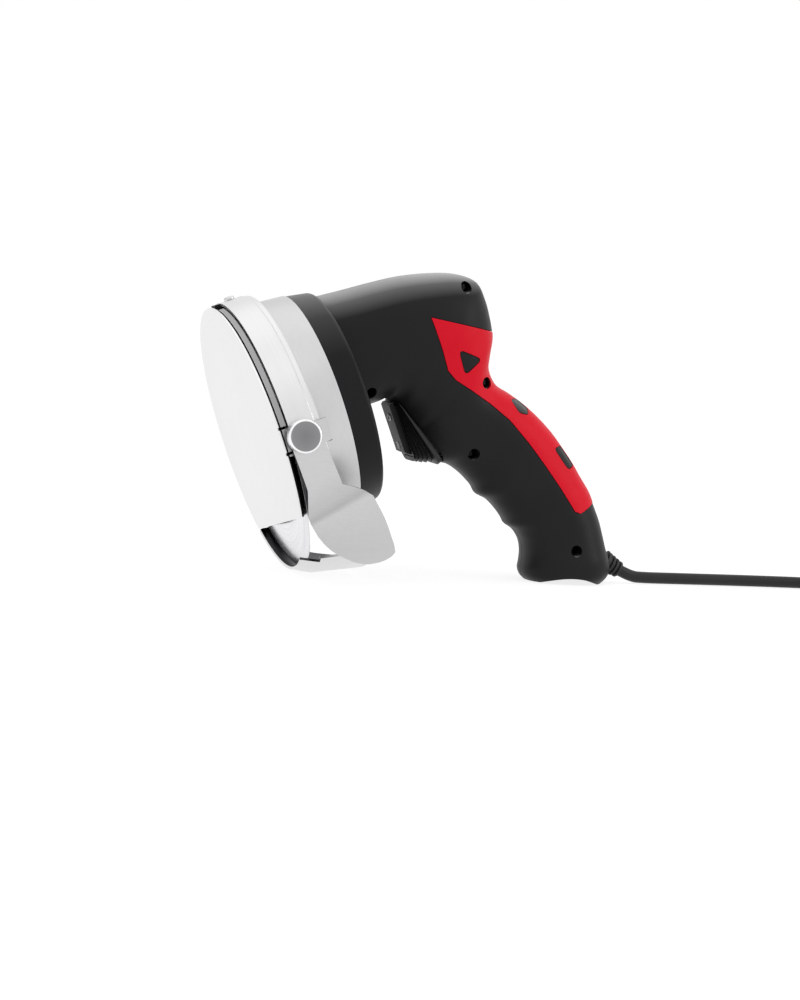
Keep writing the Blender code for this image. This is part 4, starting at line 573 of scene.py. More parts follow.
def bump(tree, shader, heights):
    """Bumps one after another, each a height socket, a strength and a distance."""
    before = None
    for height, strength, distance in heights:
        node = tree.nodes.new("ShaderNodeBump")
        node.inputs["Strength"].default_value = strength
        node.inputs["Distance"].default_value = distance
        tree.links.new(height, node.inputs["Height"])
        if before is not None:
            tree.links.new(before, node.inputs["Normal"])
        before = node.outputs[0]
    tree.links.new(before, shader.inputs["Normal"])


def moulded(name, dark, light, rough, grain=2600, painted_top_highlight=None, **sockets):
    """Moulded plastic or rubber: fine spark-eroded grain, faint wear, and a painted highlight where it faces
    up.
    """
    made, tree, shader, place = material(name, dark, rough[0], **sockets)
    wide = noise(tree, place, 38, 4)
    colour = ramp(tree, wide, [(0.3, dark), (0.75, light)])
    # painted highlight: lighter where the surface faces up
    if painted_top_highlight is not None:
        normal = tree.nodes.new("ShaderNodeNewGeometry").outputs["Normal"]
        lit = ramp(tree, dot(tree, normal, (0, 0, 1)), [(0.50, 0.0), (0.80, 0.22), (0.95, 0.75), (1.0, 1.0)])
        colour = mix(tree, lit, colour, (painted_top_highlight, painted_top_highlight, painted_top_highlight))
    tree.links.new(colour, shader.inputs["Base Color"])
    smudge = noise(tree, place, 90, 5, 0.65)
    tree.links.new(ramp(tree, smudge, [(0.3, rough[0]), (0.75, rough[1])]), shader.inputs["Roughness"])
    bump(tree, shader, [(noise(tree, place, grain, 2), 0.35, GRAIN_DEPTH), (wide, 0.05, WEAR_DEPTH)])
    return made


def from_blade(tree, place):
    """The way from the middle of the gear case's rear, on the blade's axis."""
    return vector_node(tree, "SUBTRACT", place, BLADE_CENTRE)


def turned(name, dark, light, rough, rings=1500.0, strength=0.12, groove=None):
    """Metal brushed round the blade's axis: rings on its faces, streaks along
    its bands. A groove gets painted shade between two depths and within a
    radius, and what lies behind it gets a grey painted shade."""
    made, tree, shader, place = material(name, light, rough[0], 1.0)
    from_centre = from_blade(tree, place)
    depth = dot(tree, from_centre, AXIS)
    radius = size_of(tree, from_centre)
    joined = tree.nodes.new("ShaderNodeCombineXYZ")
    wander = times(tree, noise(tree, place, 12, 1), BRUSH_WANDER)
    for socket, value in zip(joined.inputs, (depth, radius, wander)):
        tree.links.new(value, socket)
    streaks = noise(tree, joined.outputs[0], rings, 4, 0.7)
    wide = noise(tree, place, 22, 3)
    colour = ramp(tree, streaks, [(0.25, dark), (0.7, light)])
    # painted shade in the groove, and a grey painted shade on what lies behind it
    if groove is not None:
        low, high, within = groove
        ahead = math_node(tree, "GREATER_THAN", depth, low)
        level = times(tree, ahead, math_node(tree, "LESS_THAN", depth, high))
        apart = math_node(tree, "SUBTRACT", times(tree, radius, radius), times(tree, depth, depth))
        across = math_node(tree, "SQRT", apart)
        inside = times(tree, level, math_node(tree, "LESS_THAN", across, within))
        colour = mix(tree, inside, colour, GROOVE_PAINTED_SHADE)
        colour = mix(tree, math_node(tree, "LESS_THAN", depth, low), colour, SKIRT_PAINTED_SHADE)
    tree.links.new(colour, shader.inputs["Base Color"])
    uneven = plus(tree, times(tree, streaks, 0.6), times(tree, wide, 0.4))
    tree.links.new(ramp(tree, uneven, [(0.3, rough[0]), (0.7, rough[1])]), shader.inputs["Roughness"])
    bump(tree, shader, [(streaks, strength, BRUSH_DEPTH)])
    return made


def knob_look():
    """Dark turned face inside a bright edge."""
    made, tree, shader, place = material("knob_steel", (0.25, 0.25, 0.255), 0.3, 1.0)
    from_centre = vector_node(tree, "SUBTRACT", place, KNOB_CENTRE)
    across = vector_node(tree, "CROSS_PRODUCT", from_centre, KNOB_AXIS)
    share = times(tree, size_of(tree, across), 1 / KNOB_FACE_R)
    face, edge = (0.26, 0.26, 0.265), (0.90, 0.90, 0.91)
    tree.links.new(ramp(tree, share, [(0.0, (0.21, 0.21, 0.215)), (0.93, face), (0.97, edge)]),
                   shader.inputs["Base Color"])
    rings = noise(tree, across, 2600, 2)
    tree.links.new(ramp(tree, rings, [(0.3, 0.30), (0.7, 0.40)]), shader.inputs["Roughness"])
    bump(tree, shader, [(rings, 0.06, KNOB_BRUSH_DEPTH)])
    return made


def brushed(name, dark, light, rough, along=(60, 2600, 2600), strength=0.1, inside=None, crease=None):
    """Sheet metal brushed in one direction, with a painted dark reflection where
    it faces the blade's axis and a painted shade along a crease across its turns."""
    made, tree, shader, place = material(name, light, rough[0], 1.0)
    stretch = tree.nodes.new("ShaderNodeMapping")
    stretch.inputs["Scale"].default_value = along
    stretch.inputs["Rotation"].default_value = (0, TILT, 0)
    tree.links.new(place, stretch.inputs["Vector"])
    streaks = noise(tree, stretch.outputs[0], 1.0, 3, 0.6)
    wide = noise(tree, place, 25, 3)
    colour = ramp(tree, streaks, [(0.25, dark), (0.75, light)])
    # painted dark reflection on faces towards the blade's axis
    if inside is not None:
        normal = tree.nodes.new("ShaderNodeNewGeometry").outputs["Normal"]
        outward = dot(tree, from_blade(tree, place), normal)
        colour = mix(tree, math_node(tree, "GREATER_THAN", outward, 0.0), inside, colour)
    # painted shade along the crease
    if crease is not None:
        turn, slope, rear = crease
        from_centre = from_blade(tree, place)
        near = dot(tree, from_centre, (0, -1, 0))
        down = dot(tree, from_centre, (-AXIS.z, 0, AXIS.x))
        degrees = times(tree, math_node(tree, "ARCTAN2", near, down), 180 / math.pi)
        ahead = math_node(tree, "SUBTRACT", dot(tree, from_centre, AXIS), rear)
        past = math_node(tree, "SUBTRACT", plus(tree, degrees, times(tree, ahead, slope)), turn)
        share = plus(tree, times(tree, past, 1 / CREASE_SPREAD), 0.5)
        painted_crease_shade = ramp(tree, share, [(0.30, 0.97), (0.46, 1.0), (0.515, 0.76), (0.60, 0.88), (0.85, 1.0)])
        colour = mix(tree, 1.0, colour, painted_crease_shade, "MULTIPLY")
    tree.links.new(colour, shader.inputs["Base Color"])
    tree.links.new(ramp(tree, wide, [(0.3, rough[0]), (0.75, rough[1])]), shader.inputs["Roughness"])
    bump(tree, shader, [(streaks, strength, BRUSH_DEPTH)])
    return made


# The black plastics carry a painted highlight on faces that look up
BLACK = moulded("moulded_black", (0.007, 0.007, 0.008), (0.010, 0.010, 0.011), (0.38, 0.48), painted_top_highlight=0.42,
                Specular_IOR_Level=0.16)
CASE_BLACK = moulded("case_black", (0.006, 0.006, 0.007), (0.009, 0.009, 0.010), (0.34, 0.44), grain=3200,
                     painted_top_highlight=0.12, Specular_IOR_Level=0.14)
RED = moulded("moulded_red", (0.64, 0.002, 0.014), (0.70, 0.004, 0.022), (0.40, 0.50), grain=3000,
              Specular_IOR_Level=0.12)
RUBBER = moulded("soft_black", (0.010, 0.010, 0.010), (0.016, 0.016, 0.016), (0.46, 0.58), grain=1900,
                 Specular_IOR_Level=0.4)
MARK_WHITE = moulded("mark_white", (0.86, 0.86, 0.85), (0.92, 0.92, 0.91), (0.4, 0.5), grain=2500)
CORD_BLACK = moulded("cord_black", (0.010, 0.010, 0.010), (0.015, 0.015, 0.015), (0.36, 0.5), grain=1700,
                     Specular_IOR_Level=0.28)
DARK_STEEL = turned("blackened_steel", (0.02, 0.02, 0.02), (0.05, 0.05, 0.05), (0.3, 0.45))
# The cover's groove gets painted shade, and its skirt a grey painted shade
COVER_STEEL = turned("cover_steel", (0.78, 0.78, 0.785), (0.82, 0.82, 0.825), (0.34, 0.44), 900, 0.03,
                     groove=(GROOVE_REAR - GROOVE_MARGINS[0], FACE_REAR + GROOVE_MARGINS[1],
                             SKIRT_R - GROOVE_MARGINS[0]))
BAND_STEEL = turned("band_steel", (0.69, 0.69, 0.695), (0.74, 0.74, 0.745), (0.34, 0.42), 1700, 0.04)
DRUM_ALLOY = turned("drum_alloy", (0.56, 0.56, 0.565), (0.61, 0.61, 0.615), (0.36, 0.44), 1500, 0.04)
BLADE_STEEL = turned("ground_steel", (0.62, 0.62, 0.64), (0.86, 0.86, 0.88), (0.16, 0.28), 1800, 0.15)
TURNED_STEEL = turned("turned_steel", (0.5, 0.5, 0.51), (0.72, 0.72, 0.73), (0.25, 0.38), 1600, 0.1)
# The guard's inner faces carry a painted dark reflection
GUARD_STEEL = brushed("guard_steel", (0.68, 0.68, 0.685), (0.74, 0.74, 0.745), (0.28, 0.38), strength=0.05,
                      inside=(0.07, 0.07, 0.075))
# A painted shade lies along the guide's crease
GUIDE_STEEL = brushed("guide_steel", (0.54, 0.54, 0.545), (0.60, 0.60, 0.605), (0.28, 0.38), strength=0.03,
                      crease=(CREASE_TURN, GUIDE_CREASE_SLOPE, COVER_REAR))
KNOB_STEEL = knob_look()
COPPER = brushed("copper_wire", (0.48, 0.17, 0.07), (0.72, 0.30, 0.14), (0.25, 0.4), (2600, 60, 2600))
BRASS = brushed("plug_brass", (0.55, 0.40, 0.17), (0.76, 0.58, 0.28), (0.2, 0.34), (60, 2600, 2600))
FERRITE = moulded("ferrite", (0.03, 0.03, 0.032), (0.06, 0.06, 0.062), (0.5, 0.7), grain=1500)

LOOKS = {}
for look, names in (
        (BLACK, ("end_bell", "cover_clip_1", "cover_clip_2", "left_housing", "right_housing", "switch_body",
                 "rocker", "plug_body", "cooling_fan")),
        (CASE_BLACK, ("gear_case",)), (RUBBER, ("switch_boot", "cord_grip")),
        (RED, ("left_inlay", "right_inlay")), (BAND_STEEL, ("head_pan",)), (COVER_STEEL, ("front_cover",)),
        (GUARD_STEEL, ("lower_guard",)), (GUIDE_STEEL, ("thickness_guide",)),
        (KNOB_STEEL, ("clamp_knob", "clamp_stud")), (DRUM_ALLOY, ("drum",)), (BLADE_STEEL, ("blade",)),
        (COPPER, ("armature_winding", "commutator")), (FERRITE, ("magnet_1", "magnet_2")),
        (BRASS, ("brush_1", "brush_2", "plug_pin_1", "plug_pin_2")),
        (DARK_STEEL, [f"housing_screw_{i + 1}" for i in range(len(HOUSING_SCREW_SHARES))])):
    for name in names:
        LOOKS[name] = look
for name, node in frame["nodes"].items():
    look = LOOKS.get(name, TURNED_STEEL)
    for slot in node.material_slots:
        slot.material = look


# Tools for making pieces

WORK = {}                 # unfinished pieces by their names
WORKSHOP = bpy.data.collections.new("workshop")
bpy.context.scene.collection.children.link(WORKSHOP)


def anchor(name, parent, matrix):
    """An empty that carries pieces, placed in its parent's space."""
    made = bpy.data.objects.new(name, None)
    WORKSHOP.objects.link(made)
    made.parent = parent
    made.matrix_basis = matrix
    return made


def add(name, data, parent, look):
    """An unfinished piece, or a cutter where it has no look."""
    item = bpy.data.objects.new(name, data)
    item.parent = parent
    WORKSHOP.objects.link(item)
    item.hide_render = True
    if look is not None:
        data.materials.append(look)
        WORK[name] = item
    return item


def mesh_from(name, shape, outwards=False):
    """A mesh of a bmesh, which is freed."""
    if outwards:
        bmesh.ops.recalc_face_normals(shape, faces=shape.faces)
    mesh = bpy.data.meshes.new(name)
    shape.to_mesh(mesh)
    shape.free()
    return mesh


def from_bmesh(name, shape, parent, look):
    return add(name, mesh_from(name, shape, outwards=True), parent, look)


def boolean(item, operation, others):
    for other in others:
        step = item.modifiers.new(f"{operation.title()} {other.name}", "BOOLEAN")
        step.operation = operation
        step.object = other
        step.solver = "MANIFOLD"
    return item


def carve(item, *cutters):
    return boolean(item, "DIFFERENCE", cutters)


def join(item, *others):
    return boolean(item, "UNION", others)


def lathe(name, profile, parent, look=None, steps=ROUND_STEPS, closed=False):
    """A turned piece. Its profile runs down its outer side; a ring's closes."""
    mesh = bpy.data.meshes.new(name)
    edges = [(i, i + 1) for i in range(len(profile) - 1)]
    if closed:
        edges.append((len(profile) - 1, 0))
    mesh.from_pydata([(radius, 0, depth) for radius, depth in profile], edges, [])
    item = add(name, mesh, parent, look)
    turn = item.modifiers.new("Turn", "SCREW")
    turn.steps = steps
    turn.render_steps = steps
    turn.use_merge_vertices = True
    turn.merge_threshold = MERGE
    turn.use_smooth_shade = True
    return item


def rounded(radius, depth, size, start):
    """Points of a quarter-turn corner about its centre, clockwise from start."""
    turns = [start - math.pi / 2 * i / EDGE_STEPS for i in range(EDGE_STEPS + 1)]
    return [(radius + size * math.cos(turn), depth + size * math.sin(turn)) for turn in turns]


def rod(name, radius, low, high, parent, look=None, place=(0, 0), steps=SMALL_STEPS):
    """A cylinder along its parent's Z."""
    shape = bmesh.new()
    middle = Matrix.Translation((*place, (low + high) / 2))
    bmesh.ops.create_cone(shape, cap_ends=True, segments=steps, radius1=radius,
                          radius2=radius, depth=high - low, matrix=middle)
    return from_bmesh(name, shape, parent, look)


def drill(item, name, radius, low, high, parent, place=(0, 0)):
    """Cuts a screw's hole, or another small one."""
    return carve(item, rod(name, radius, low, high, parent, place=place, steps=SCREW_STEPS))


def screw(name, radius, head_radius, head, length, seat, parent):
    """A pan-head screw whose head stands on a seat, its shank towards -Z."""
    profile = [(0, seat + head), (head_radius - head / 2, seat + head), (head_radius, seat + head / 2),
               (head_radius, seat), (radius, seat), (radius, seat - length), (0, seat - length)]
    return lathe(name, profile, parent, TURNED_STEEL, steps=SCREW_STEPS)


def box(name, low, high, parent, look=None):
    """A box between two corners."""
    low, high = Vector(low), Vector(high)
    place = Matrix.Translation((low + high) / 2) @ Matrix.Diagonal((*(high - low), 1))
    shape = bmesh.new()
    bmesh.ops.create_cube(shape, size=1, matrix=place)
    return from_bmesh(name, shape, parent, look)


def prism(name, outline, direction, parent, look=None):
    """A flat outline of points, extruded along a vector."""
    shape = bmesh.new()
    face = shape.faces.new([shape.verts.new(point) for point in outline])
    made = bmesh.ops.extrude_face_region(shape, geom=[face])
    moved = [part for part in made["geom"] if isinstance(part, bmesh.types.BMVert)]
    bmesh.ops.translate(shape, verts=moved, vec=direction)
    return from_bmesh(name, shape, parent, look)


def raised(name, outline, depth):
    """A prism forward along the blade's axis."""
    return prism(name, outline, Vector((0, 0, depth)), BLADE_AXIS)


def stitch(shape, rows):
    """Faces between closed rings that follow each other."""
    for row, following in zip(rows, rows[1:]):
        for i in range(len(row)):
            j = (i + 1) % len(row)
            shape.faces.new((row[i], row[j], following[j], following[i]))


def skin(name, rings, parent, look=None):
    """A capped loft through closed rings of equal numbers of points."""
    shape = bmesh.new()
    rows = [[shape.verts.new(point) for point in row] for row in rings]
    stitch(shape, rows)
    shape.faces.new(rows[0])
    shape.faces.new(list(reversed(rows[-1])))
    return from_bmesh(name, shape, parent, look)


def sheet(name, grid, parent, look):
    """Sheet metal on a grid of points, thickened outwards. Its rows follow each
    other towards the near side, and each runs from rear to front."""
    shape = bmesh.new()
    rows = [[shape.verts.new(point) for point in row] for row in grid]
    for row, following in zip(rows, rows[1:]):
        for i in range(len(row) - 1):
            shape.faces.new((row[i], following[i], following[i + 1], row[i + 1]))
    mesh = mesh_from(name, shape)
    mesh.shade_smooth()
    item = add(name, mesh, parent, look)
    thick = item.modifiers.new("Thickness", "SOLIDIFY")
    thick.thickness = SHEET
    thick.offset = 1
    thick.use_even_offset = True
    return item


def rounded_section(high, wide, power, steps):
    """Pairs round a section between an ellipse and a rectangle."""
    pairs = []
    for i in range(steps):
        turn = math.tau * i / steps
        across = math.copysign(abs(math.cos(turn)) ** power, math.cos(turn))
        along = math.copysign(abs(math.sin(turn)) ** power, math.sin(turn))
        pairs.append((high * across, wide * along))
    return pairs


def smooth(value):
    """0 up to 0, 1 from 1 on, and a smooth step between."""
    value = min(max(value, 0), 1)
    return value * value * (3 - 2 * value)


def rise(value, ends):
    """A smooth step from 0 at the first end to 1 at the second."""
    return smooth((value - ends[0]) / (ends[1] - ends[0]))


def between(table, position):
    """The values on a smooth curve through a table's rows, 0 to 1 along it."""
    spans = len(table) - 1
    scaled = min(max(position, 0), 1) * spans
    index = min(int(scaled), spans - 1)
    part = scaled - index
    rows = (table[max(index - 1, 0)], table[index], table[index + 1],
            table[min(index + 2, spans)])
    values = []
    for before, start, end, after in zip(*rows):
        slope = (end - before) / 2
        end_slope = (after - start) / 2
        cubic = 2 * (start - end) + slope + end_slope
        square = 3 * (end - start) - 2 * slope - end_slope
        values.append(((cubic * part + square) * part + slope) * part + start)
    return values


def spread(ends, spans):
    """Even steps from the first end to the second."""
    return [ends[0] + (ends[1] - ends[0]) * i / spans for i in range(spans + 1)]


def grown(outline, amount):
    """A flat outline in X and Z, moved outwards on every side."""
    following = outline[1:] + outline[:1]
    twice_area = sum(a.x * b.z - b.x * a.z for a, b in zip(outline, following))
    side = math.copysign(1, twice_area)
    made = []
    for before, here, after in zip(outline[-1:] + outline[:-1], outline, following):
        arriving = (here - before).normalized()
        leaving = (after - here).normalized()
        first = Vector((arriving.z, 0, -arriving.x)) * side
        second = Vector((leaving.z, 0, -leaving.x)) * side
        corner = (first + second).normalized()
        made.append(here + corner * amount / corner.dot(first))
    return made


# The tool's frames. The head's frames have Z forward along the blade's axis
# and X up in the plane of the disc
TOOL = anchor("tool", None, Matrix.Translation((CASE_X, CASE_Y, CASE_Z)))
HEAD = anchor("head", TOOL, Matrix.Rotation(-(math.pi / 2 + TILT), 4, "Y"))
BLADE_AXIS = anchor("blade_axis", HEAD, Matrix.Translation((-AXIS_DROP, 0, 0)))
MOTOR_AXIS = anchor("motor_axis", HEAD, Matrix.Translation((GEAR_CENTRES - AXIS_DROP, 0, 0)))


def on_rim(turn, radius, depth):
    """A point round the head's axes. The turn is 0 straight down and grows
    towards the near side."""
    return Vector((-radius * math.cos(turn), -radius * math.sin(turn), depth))


def rim_frame(name, turn, depth):
    """A frame on the blade's axis with Z outwards at a turn, and X forward."""
    outward = on_rim(turn, 1, 0)
    ahead = Vector((0, 0, 1))
    axes = Matrix((ahead, outward.cross(ahead), outward)).transposed()
    return anchor(name, BLADE_AXIS, Matrix.Translation((0, 0, depth)) @ axes.to_4x4())


def housing_place(shares):
    return Vector((shares[0] * HANDLE_REACH, 0, shares[1] * CASE_Z))


def side_frame(name, shares):
    """A frame in the housing's part line, with Z towards the near side."""
    place = Matrix.Translation(housing_place(shares))
    return anchor(name, TOOL, place @ Matrix.Rotation(math.pi / 2, 4, "X"))


def turned_frame(name, parent, place, turn):
    """A frame at a place, turned about Y."""
    return anchor(name, parent, Matrix.Translation(place) @ Matrix.Rotation(turn, 4, "Y"))


# Frames of the smaller groups
KNOB = rim_frame("knob_axis", KNOB_TURN, KNOB_DEPTH)
CLIPS = [rim_frame(f"clip_place_{i}", turn, CLIP_SCREW_DEPTH) for i, turn in enumerate(CLIP_TURNS, 1)]
GUARD_SCREW = rim_frame("guard_screw_place", GUARD_SCREW_TURN, CLIP_SCREW_DEPTH)
HOUSING_SCREWS = [side_frame(f"housing_screw_place_{i}", shares)
                  for i, shares in enumerate(HOUSING_SCREW_SHARES, 1)]
SWITCH = turned_frame("switch", TOOL, housing_place(SWITCH_SHARES), SWITCH_SLOPE - math.pi)
FACE = turned_frame("switch_face", SWITCH, (0, 0, 0), BOOT_TURNS[1])
ROCKER = turned_frame("rocker_axis", FACE, (-ROCKER_PLACE, 0, -PIVOT_DEPTH), 0)
PIVOT = anchor("rocker_pivot_axis", ROCKER, Matrix.Rotation(math.pi / 2, 4, "X"))
GRIP = turned_frame("cord_grip_axis", TOOL, housing_place(GRIP_SHARES), math.pi / 2 - GRIP_HEADING)
CORD_START = Vector((CASE_X, CASE_Y, CASE_Z)) + GRIP.matrix_basis @ Vector((0, 0, GRIP_OUTSIDE + GAP))
BAND_SCREWS = (("cover_screw_1", CLIPS[0], RIM_R + GAP), ("cover_screw_2", CLIPS[1], KNOB_SEAT),
               ("guard_screw", GUARD_SCREW, KNOB_SEAT))
ISLANDS = (("triangle", TRIANGLE_SHARES), ("diamond", DIAMOND_SHARES), ("lozenge", LOZENGE_SHARES))


def sector(inner, outer, turns, depth):
    """Points round a sector of a ring."""
    steps = max(2, round(abs(turns[1] - turns[0]) * ROUND_STEPS / math.tau))
    places = spread(turns, steps)
    outside = [on_rim(place, outer, depth) for place in places]
    return outside + [on_rim(place, inner, depth) for place in reversed(places)]


def chord_cutter(name):
    """Everything below the straight cut under the blade's axis."""
    place = anchor(name + "_place", BLADE_AXIS, Matrix.Rotation(CHORD_TURN, 4, "Z"))
    low = (-RIM_R - OVERRUN, -RIM_R - OVERRUN, DRUM_FRONT - OVERRUN)
    high = (-CHORD, RIM_R + OVERRUN, COVER_FRONT + OVERRUN)
    return box(name, low, high, place)


def make_gear_case():
    """The black ring behind the drum: a cup with the rear bearing's boss."""
    inner = CASE_REAR_R - CASE_WALL
    profile = [(0, CASE_FLOOR), (inner, CASE_FLOOR), (CASE_FRONT_R - CASE_WALL, CASE_DEPTH),
               (CASE_FRONT_R, CASE_DEPTH)]
    profile += rounded(CASE_REAR_R - CASE_EDGE_R, CASE_EDGE_R, CASE_EDGE_R, 0)
    profile.append((0, 0))
    case = lathe("gear_case", profile, HEAD, CASE_BLACK)
    boss_top = REAR_BEARING + BEARING_T
    join(case, rod("case_boss", BOSS_OUTER_R, SEAT_FLOOR, boss_top, BLADE_AXIS))
    carve(case, rod("case_seat", SEAT_R, SEAT_FLOOR, CASE_DEPTH, BLADE_AXIS),
          rod("case_pilot", PILOT_R + GAP, -OVERRUN, CASE_DEPTH, MOTOR_AXIS))
    for side in (-1, 1):
        place = (0, side * MOTOR_SCREW_PLACE)
        drill(case, "case_screw_hole", MOTOR_SCREW_R + GAP, -OVERRUN, CASE_DEPTH, MOTOR_AXIS, place)


def pan_screw_place(index):
    """Where a screw between pan and drum stands, across the blade's axis."""
    point = on_rim(math.pi + math.tau * index / PAN_SCREWS, PAN_SCREW_PLACE, 0)
    return point.x, point.y


def make_drum():
    """The bright drum over the gears, with the front bearing's boss."""
    floor = DRUM_FRONT - DRUM_FLOOR
    profile = [(0, DRUM_FRONT)]
    profile += rounded(DRUM_FRONT_R - DRUM_EDGE_R, DRUM_FRONT - DRUM_EDGE_R, DRUM_EDGE_R, math.pi / 2)
    profile += [(DRUM_REAR_R, DRUM_REAR), (DRUM_REAR_R - DRUM_WALL, DRUM_REAR),
                (DRUM_FRONT_R - DRUM_WALL, floor), (0, floor)]
    drum = lathe("drum", profile, HEAD, DRUM_ALLOY)
    join(drum, rod("drum_boss", BOSS_OUTER_R, FRONT_BEARING, DRUM_FRONT + DRUM_NOSE, BLADE_AXIS))
    for index in range(PAN_SCREWS):
        place = pan_screw_place(index)
        join(drum, rod("drum_screw_boss", PAN_BOSS_R, DRUM_FRONT - PAN_BOSS,
                       DRUM_FRONT - DRUM_FLOOR / 2, BLADE_AXIS, place=place))
        drill(drum, "drum_screw_hole", PAN_SCREW_R + GAP, DRUM_FRONT - PAN_BOSS - OVERRUN,
              DRUM_FRONT + OVERRUN, BLADE_AXIS, place)
    carve(drum, rod("drum_seat", SEAT_R, FRONT_BEARING - OVERRUN, FRONT_SHOULDER, BLADE_AXIS),
          rod("drum_bore", BEARING_BORE_R, DRUM_REAR, DRUM_FRONT + OVERRUN, BLADE_AXIS))


def make_pan():
    """The sheet pan round the blade: a floor behind it and a band at its rim."""
    waist = PAN_REAR + BAND_STEP_DEPTH
    hole = BOSS_OUTER_R + GAP
    floor = PAN_REAR + PAN_FLOOR
    profile = [
        (hole, floor), (BAND_INNER_R - BAND_STEP, floor), (BAND_INNER_R - BAND_STEP, waist),
        (BAND_INNER_R, waist + BAND_STEP), (BAND_INNER_R, PAN_FRONT), (RIM_R, PAN_FRONT),
        (RIM_R, waist + BAND_STEP), (RIM_R - BAND_STEP, waist),
        (RIM_R - BAND_STEP, PAN_REAR + BAND_STEP), (RIM_R - 2 * BAND_STEP, PAN_REAR), (hole, PAN_REAR),
    ]
    pan = lathe("head_pan", profile, BLADE_AXIS, BAND_STEEL, closed=True)
    outline = sector(BAND_INNER_R - OVERRUN, RIM_R + OVERRUN, RELIEF_TURNS, PAN_FRONT - RELIEF_DEPTH)
    carve(pan, chord_cutter("pan_chord"), raised("pan_relief", outline, RELIEF_DEPTH + OVERRUN))
    for index in range(PAN_SCREWS):
        drill(pan, "pan_screw_hole", PAN_SCREW_R + GAP, DRUM_FRONT, PAN_REAR + OVERRUN, BLADE_AXIS,
              pan_screw_place(index))
    drill(pan, "pan_stud_hole", STUD_R + GAP, DRUM_FRONT_R, RIM_R + OVERRUN, KNOB)
    for place in (*CLIPS, GUARD_SCREW):
        drill(pan, "pan_clip_hole", CLIP_SCREW_R + GAP, DRUM_FRONT_R, RIM_R + OVERRUN, place)


def make_blade():
    """The round knife: a bevelled rim, a dished middle and its keyway."""
    profile = [
        (BLADE_HOLE_R, DISH_FRONT), (DISH_R, DISH_FRONT), (DISH_R + DISH_SLOPE, BLADE_FRONT),
        (BLADE_R - BLADE_BEVEL, BLADE_FRONT), (BLADE_R, BLADE_REAR + BLADE_EDGE),
        (BLADE_R - BLADE_EDGE, BLADE_REAR), (DISH_R + DISH_SLOPE, BLADE_REAR),
        (DISH_R, DISH_REAR), (BLADE_HOLE_R, DISH_REAR),
    ]
    blade = lathe("blade", profile, BLADE_AXIS, BLADE_STEEL, closed=True)
    low, high = DISH_REAR - OVERRUN, BLADE_FRONT + OVERRUN
    across, wide = KEYWAY / 2, KEYWAY_WIDTH / 2
    carve(blade, box("blade_keyway", (-across, -wide, low), (across, wide, high), BLADE_AXIS))
    drill(blade, "blade_puller_hole", PULLER_R, low, high, BLADE_AXIS, (-PULLER_PLACE, 0))


def make_front_cover():
    """The cover in front of the blade: a thin disc, a groove, a skirt with a tab."""
    inside = SKIRT_R - SKIRT_WALL
    profile = [(0, COVER_FRONT)]
    profile += rounded(FACE_R - FACE_EDGE_R, COVER_FRONT - FACE_EDGE_R, FACE_EDGE_R, math.pi / 2)
    profile += [
        (FACE_R, FACE_REAR), (SKIRT_R - GROOVE, FACE_REAR), (SKIRT_R - GROOVE, GROOVE_REAR),
        (SKIRT_R, GROOVE_REAR), (SKIRT_R, SKIRT_REAR), (inside, SKIRT_REAR), (inside, GROOVE_REAR),
        (inside - GROOVE, FACE_REAR), (0, FACE_REAR),
    ]
    cover = lathe("front_cover", profile, BLADE_AXIS, COVER_STEEL)
    half = TAB_HALF / RIM_R
    turns = (TAB_TURN - half, TAB_TURN + half)
    tab = sector(inside, SKIRT_R, turns, PAN_FRONT - TAB_REACH)
    join(cover, raised("cover_tab", tab, SKIRT_REAR - PAN_FRONT + TAB_REACH + MERGE))
    end = COVER_FRONT - SKIRT_REAR - NOTCH_WIDTH * NOTCH_SHORT_SHARE
    for index, turn in enumerate(turns, 1):
        place = rim_frame(f"cover_notch_place_{index}", turn, SKIRT_REAR)
        carve(cover, box(f"cover_notch_{index}", (-OVERRUN, -NOTCH_WIDTH / 2, BLADE_R),
                         (end, NOTCH_WIDTH / 2, RIM_R + OVERRUN), place))
        drill(cover, f"cover_notch_end_{index}", NOTCH_WIDTH * NOTCH_END_SHARE, BLADE_R, RIM_R + OVERRUN,
              place, (end, 0))
    for index, bare in enumerate(SKIRT_BARE_TURNS, 1):
        outline = sector(inside - GROOVE, RIM_R + OVERRUN, bare, SKIRT_REAR - OVERRUN)
        carve(cover, raised(f"cover_bare_{index}", outline, GROOVE_REAR - SKIRT_REAR + OVERRUN))
    carve(cover, chord_cutter("cover_chord"))


def make_clips():
    """Clips behind the cover's rim and inside the band, and their screws."""
    low = BAND_SEAT_R - CLIP_T
    ahead = COVER_REAR - GAP - CLIP_SCREW_DEPTH
    step = PAN_FRONT + GAP - CLIP_SCREW_DEPTH
    rear = ahead - CLIP_REACH
    profile = [(rear, low), (ahead, low), (ahead, RIM_R - GAP), (step, RIM_R - GAP), (step, BAND_SEAT_R),
               (rear, BAND_SEAT_R)]
    outline = [Vector((x, -CLIP_HALF, z)) for x, z in profile]
    for index, clip in enumerate(CLIPS, 1):
        piece = prism(f"cover_clip_{index}", outline, Vector((0, 2 * CLIP_HALF, 0)), clip, BLACK)
        drill(piece, f"clip_hole_{index}", CLIP_SCREW_R + GAP, low - OVERRUN, RIM_R + OVERRUN, clip)
    for name, place, seat in BAND_SCREWS:
        screw(name, CLIP_SCREW_R, CLIP_HEAD_R, CLIP_HEAD_T, seat - low, seat, place)


